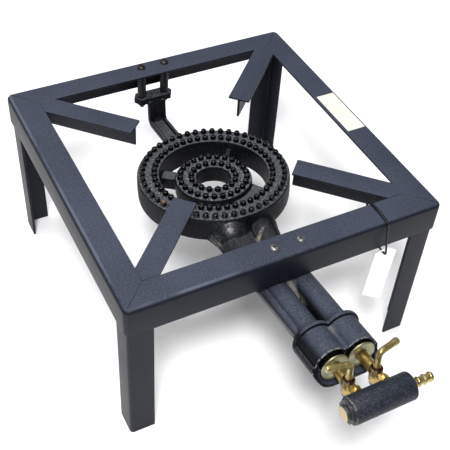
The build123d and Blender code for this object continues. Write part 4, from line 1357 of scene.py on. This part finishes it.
# %% [markdown]
# ## Hose nipple
# A brass nipple with three barbs for the hose is screwed into the right end of the pipe. It
# has a short six-sided head for the spanner. The barbs are one turned outline that ends in
# the gas way.

# %% Hose nipple
NIPPLE_FLATS, NIPPLE_LENGTH = 15.0, 4.0
BARBS, BARB_ROOT, BARB_RADIUS, BARB_SIDES = 3, 4.5, 5.75, 40
BARB_PITCH, BARB_LAND, BARB_TAPER = 7.5, 3.5, 0.35
BARB_CREST = ((-0.3, 0.0), (0.0, 0.5), (0.0, 1.4))
HOSE_WAY, HOSE_WAY_EASE = 3.0, 0.4

barb_start = PIPE_RIGHT + NIPPLE_LENGTH
tail_stations = [(PIPE_RIGHT - 0.2, FULL_CORNER), (barb_start - CORNER_EASE, FULL_CORNER)]
tail_stations += [(barb_start, NIPPLE_FLATS / 2)]
tail = six_sided(Shape(), NIPPLE_FLATS, tail_stations, pipe_frame)
barbs = [(BARB_ROOT, barb_start - 0.5)]
for k in range(BARBS):
    shoulder = barb_start + (k + 1) * BARB_PITCH - BARB_LAND
    barbs += [(BARB_ROOT, shoulder - 0.6)] + stepped(BARB_RADIUS, shoulder, BARB_CREST)
    barbs += [(BARB_ROOT + BARB_TAPER, shoulder + BARB_LAND)]
tail_end = shoulder + BARB_LAND
barbs += [(HOSE_WAY + HOSE_WAY_EASE, tail_end), (HOSE_WAY, tail_end - HOSE_WAY_EASE)]
tail.turned(barbs + [(HOSE_WAY, shoulder)], BARB_SIDES, pipe_frame)
piece("barbed_tail", tail, nipple_brass, ["hose_nipple"])
print("barbs", 2 * BARB_RADIUS, "across")

# %% [markdown]
# ## Screws and sleeves
# Four pan-head screws with a cross recess hold the burner to the stand through tube spacers.
# The recess is pressed into the round head, so the head is a set of fine rings whose points
# are pushed down wherever they fall inside the cross. The rear pair is dark.

# %% Screws and sleeves
HEAD_RADIUS, HEAD_HEIGHT, HEAD_RINGS, HEAD_SIDES = 5.75, 3.8, 26, 96
HEAD_FALL, HEAD_DOME, HEAD_TIP, HEAD_SHARP = 0.75, 0.08, 0.05, 30.0
HEAD_TURNS, REAR_TURN = ((-SCREW_ACROSS, 0.5), (SCREW_ACROSS, 1.1)), 0.4
CROSS_HALF, CROSS_REACH, CROSS_DEPTH = 0.75, 3.1, 1.7
SLEEVE_RADIUS, SLEEVE_BORE, SLEEVE_EASE, SLEEVE_SIDES = 6.0, 3.3, 0.5, 36
RAIL_UNDERSIDE = STAND_TOP - SHEET
REAR_NUT_FLATS, REAR_NUT_LOW = 10.0, LUG_LOW - 5.0
REAR_STUD = ((2.4, -4.0), (3.0, -3.4), (3.0, 1.0))


def pan_head(shape, x, y, turn):
    """Head of one screw on top of a rail, with its cross turned by an angle."""
    turns = [2 * pi * k / HEAD_SIDES for k in range(HEAD_SIDES)]
    rows = [[(x + HEAD_RADIUS * cos(a), y + HEAD_RADIUS * sin(a), STAND_TOP) for a in turns]]
    for ring in range(HEAD_RINGS):
        radius = HEAD_RADIUS * (1 - ring / HEAD_RINGS) + HEAD_TIP
        share, reach = radius / HEAD_RADIUS, min(radius, HEAD_RADIUS)
        crown = STAND_TOP + HEAD_HEIGHT * (1 - HEAD_FALL * share ** 5 - HEAD_DOME * share ** 2)
        pressed = CROSS_DEPTH * (1 - 0.5 * radius / CROSS_REACH)
        row = []
        for angle in turns:
            arm = min(abs(radius * cos(angle + turn)), abs(radius * sin(angle + turn)))
            in_cross = arm < CROSS_HALF and radius < CROSS_REACH
            height = crown - pressed if in_cross else crown
            row.append((x + reach * cos(angle), y + reach * sin(angle), height))
        rows.append(row)
    shape.rows(rows)


front_screws, rear_screws, sleeves = Shape(), Shape(), Shape()
for x, turn in HEAD_TURNS:
    pan_head(front_screws, x, FRONT_SCREW, turn)
    pan_head(rear_screws, x, REAR_SCREW, turn + REAR_TURN)
    placed = Matrix.Translation((x, REAR_SCREW, 0))
    hexagon(rear_screws, REAR_NUT_FLATS, REAR_NUT_LOW, LUG_LOW, placed)
    rear_screws.turned(stepped(0.0, REAR_NUT_LOW, REAR_STUD), STUD_SIDES, placed)
    for y, foot in ((FRONT_SCREW, BOSS_TOP), (REAR_SCREW, LUG_TOP)):
        wall = eased_bar(SLEEVE_RADIUS, foot, RAIL_UNDERSIDE, SLEEVE_EASE)
        wall = [(SLEEVE_BORE, foot)] + wall + [(SLEEVE_BORE, RAIL_UNDERSIDE)]
        sleeves.turned(wall, SLEEVE_SIDES, Matrix.Translation((x, y, 0)), loop=True)
piece("front_screws", front_screws, bolt_zinc, ["mount_bolts"], sharp=HEAD_SHARP)
piece("rear_screws", rear_screws, bolt_dark, sharp=HEAD_SHARP)
piece("spacer_sleeves", sleeves, sleeve_steel, ["mount_sleeves"])
print("screw heads", 2 * HEAD_RADIUS, "across")

# %% [markdown]
# ## Tie
# A black plastic tie goes round the front rail as a stiff closed loop. It is one rod with
# soft corners, drawn out broader where it lies on the rail, because such a tie is a flat
# band that has twisted on its way down to the card.

# %% Tie
TIE_X, TIE_RADIUS, TIE_SIDES = 120.0, 1.1, 16
TIE_BROAD, TIE_NARROW, TIE_TAPER = 0.5, 192.0, 18.0
TIE_LINE = ((-211.0, 186.0), (-201.6, 229.6), (-182.75, 232.6))
TIE_LINE += ((-160.9, 229.6), (-160.9, 222.0), (-191.0, 186.0))
TIE_ROUND = (3.0, 3.0, 8.0, 3.0, 3.0, 3.0)

tie_plastic = Finish("tie_plastic")
tie_streak = tie_plastic.cloud(300.0, 3.0, stretch=(1.0, 0.2, 0.2))
tie_colour = tie_plastic.blend(tie_streak, rgb(12, 12, 13), rgb(26, 26, 28))
tie_plastic.set(Base_Color=tie_colour, Roughness=0.22 + 0.2 * tie_streak, Specular_IOR_Level=0.25)
tie_plastic.set(Normal=tie_plastic.bump(tie_streak, 0.0001, 0.4))

tie_path = [(TIE_X, y, z) for y, z in rounded(TIE_LINE, TIE_ROUND, 6)]
tie = Shape().rod(tie_path, [TIE_RADIUS] * len(tie_path), TIE_SIDES, loop=True)
for point in tie.points:
    broad = eased_share(min(1.0, max(0.0, (point.z - TIE_NARROW) / TIE_TAPER)))
    point.x = TIE_X + (point.x - TIE_X) * (1 + TIE_BROAD * broad)
piece("plastic_tie", tie, tie_plastic, ["tag_tie"])
print("tie", 2 * TIE_RADIUS, "thick")

# %% [markdown]
# ## Hanging card
# The card is cut from its outline with the corner clipped and the hole punched, divided into
# strips, and then given the slight curl of card that has hung.

# %% Cut and curled card
CARD_WIDTH, CARD_HEIGHT = 21.0, 84.0
CARD_HOLE_SIDE, CARD_HOLE_TOP, CARD_HOLE = 7.5, 9.0, 2.4
CARD_CLIP_WIDTH, CARD_CLIP_HEIGHT = 9.7, 13.7
CARD_CURL = 1.2

card_left, card_right = -CARD_HOLE_SIDE, CARD_WIDTH - CARD_HOLE_SIDE
card_low = CARD_HOLE_TOP - CARD_HEIGHT
card_outline = [(card_left, card_low), (card_right, card_low), (card_right, CARD_HOLE_TOP)]
card_outline += [(card_left + CARD_CLIP_WIDTH, CARD_HOLE_TOP)]
card_outline += [(card_left, CARD_HOLE_TOP - CARD_CLIP_HEIGHT)]
hole_rim = [(CARD_HOLE * c, CARD_HOLE * s) for c, s in circle(24)]
sheet = bmesh.new()
for outline in (card_outline, hole_rim):
    corners = [sheet.verts.new((a * MM, 0.0, b * MM)) for a, b in outline]
    for k, corner in enumerate(corners):
        sheet.edges.new((corner, corners[(k + 1) % len(corners)]))
bmesh.ops.triangle_fill(sheet, use_beauty=True, edges=sheet.edges)
strips = [(Vector((0, 0, 1)), card_low, CARD_HEIGHT, 12)]
strips += [(Vector((1, 0, 0)), card_left, CARD_WIDTH, 6)]
for ahead, start, length, count in strips:
    for k in range(1, count):
        everything = sheet.verts[:] + sheet.edges[:] + sheet.faces[:]
        cut = ahead * ((start + length * k / count) * MM)
        bmesh.ops.bisect_plane(sheet, geom=everything, plane_co=cut, plane_no=ahead)
for point in sheet.verts:
    down = (CARD_HOLE_TOP * MM - point.co.z) / (CARD_HEIGHT * MM)
    point.co.y = CARD_CURL * down * down * point.co.x / CARD_WIDTH
card_mesh = bpy.data.meshes.new("hanging_card")
sheet.to_mesh(card_mesh)
sheet.free()
print("card", CARD_WIDTH, "by", CARD_HEIGHT)

# %% [markdown]
# The card hangs with its middle of weight under the tie. The clipped corner moves that
# middle a little, so the angle is worked out from the area that is left. Card is white and
# slightly mottled, with a fine fibre along its length.

# %% Card on the tie
CARD_THICK, CARD_SLACK, CARD_YAW = 0.6, 0.8, 40.0

tag_card = Finish("tag_card")
card_fibre = tag_card.cloud(1500.0, 2.0, stretch=(1.0, 1.0, 0.3))
card_colour = tag_card.blend(tag_card.cloud(45.0, 5.0), rgb(250, 250, 249), rgb(254, 254, 253))
tag_card.set(Base_Color=card_colour, Roughness=0.55 + 0.15 * card_fibre)
tag_card.set(Normal=tag_card.bump(card_fibre, 0.00005, 0.3))
card_mesh.materials.append(tag_card.material)

whole, clipped = CARD_WIDTH * CARD_HEIGHT, CARD_CLIP_WIDTH * CARD_CLIP_HEIGHT / 2
area = whole - clipped
clip_across, clip_up = card_left + CARD_CLIP_WIDTH / 3, CARD_HOLE_TOP - CARD_CLIP_HEIGHT / 3
middle_across = (whole * (card_left + card_right) / 2 - clipped * clip_across) / area
middle_up = (whole * (card_low + CARD_HOLE_TOP) / 2 - clipped * clip_up) / area - CARD_SLACK
hang = atan2(middle_across * cos(radians(CARD_YAW)), -middle_up)
card = bpy.data.objects.new("hanging_card", card_mesh)
swing = Matrix.Translation(Vector(joints["tag_swing"]["pos_m"]))
slack = Matrix.Translation((0, 0, -CARD_SLACK * MM))
card.matrix_world = swing @ Matrix.Rotation(hang, 4, "Y") @ spun(-CARD_YAW) @ slack
scene.collection.objects.link(card)
thicken = card.modifiers.new("card thickness", "SOLIDIFY")
thicken.thickness = CARD_THICK * MM
thicken.offset = 0.0
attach(card, "tag")
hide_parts("hang_tag")
print("card hangs", round(hang * 180 / pi, 1), "degrees off its own edge")

# %% [markdown]
# ## Blank sticker
# A plain cream-white sticker lies on the right rail. It is only as thick as paper, but a
# sheet with real edges, set on the paint, throws the fine edge line that a painted patch
# would lack.

# %% Blank sticker
STICKER_PLAN = rectangle(169.5, -41.5, 195.0, 36.0)
STICKER_THICK, STICKER_ROUND = 0.15, 1.0

sticker_paper = Finish("sticker_paper")
sticker_mottle = sticker_paper.cloud(70.0, 4.0)
sticker_colour = sticker_paper.blend(sticker_mottle, rgb(196, 194, 184), rgb(214, 212, 203))
sticker_paper.set(Base_Color=sticker_colour, Roughness=0.40 + 0.2 * sticker_mottle)
sticker_edge = rounded(STICKER_PLAN, [STICKER_ROUND] * 4)
sticker_heights = (STAND_TOP, STAND_TOP + STICKER_THICK)
sticker = Shape().rows([[(x, y, z) for x, y in sticker_edge] for z in sticker_heights])
piece("blank_sticker", sticker, sticker_paper)
print("sticker from", STICKER_PLAN[0], "to", STICKER_PLAN[2])

# %% [markdown]
# The looks must not make the stove any bigger than the packed model.
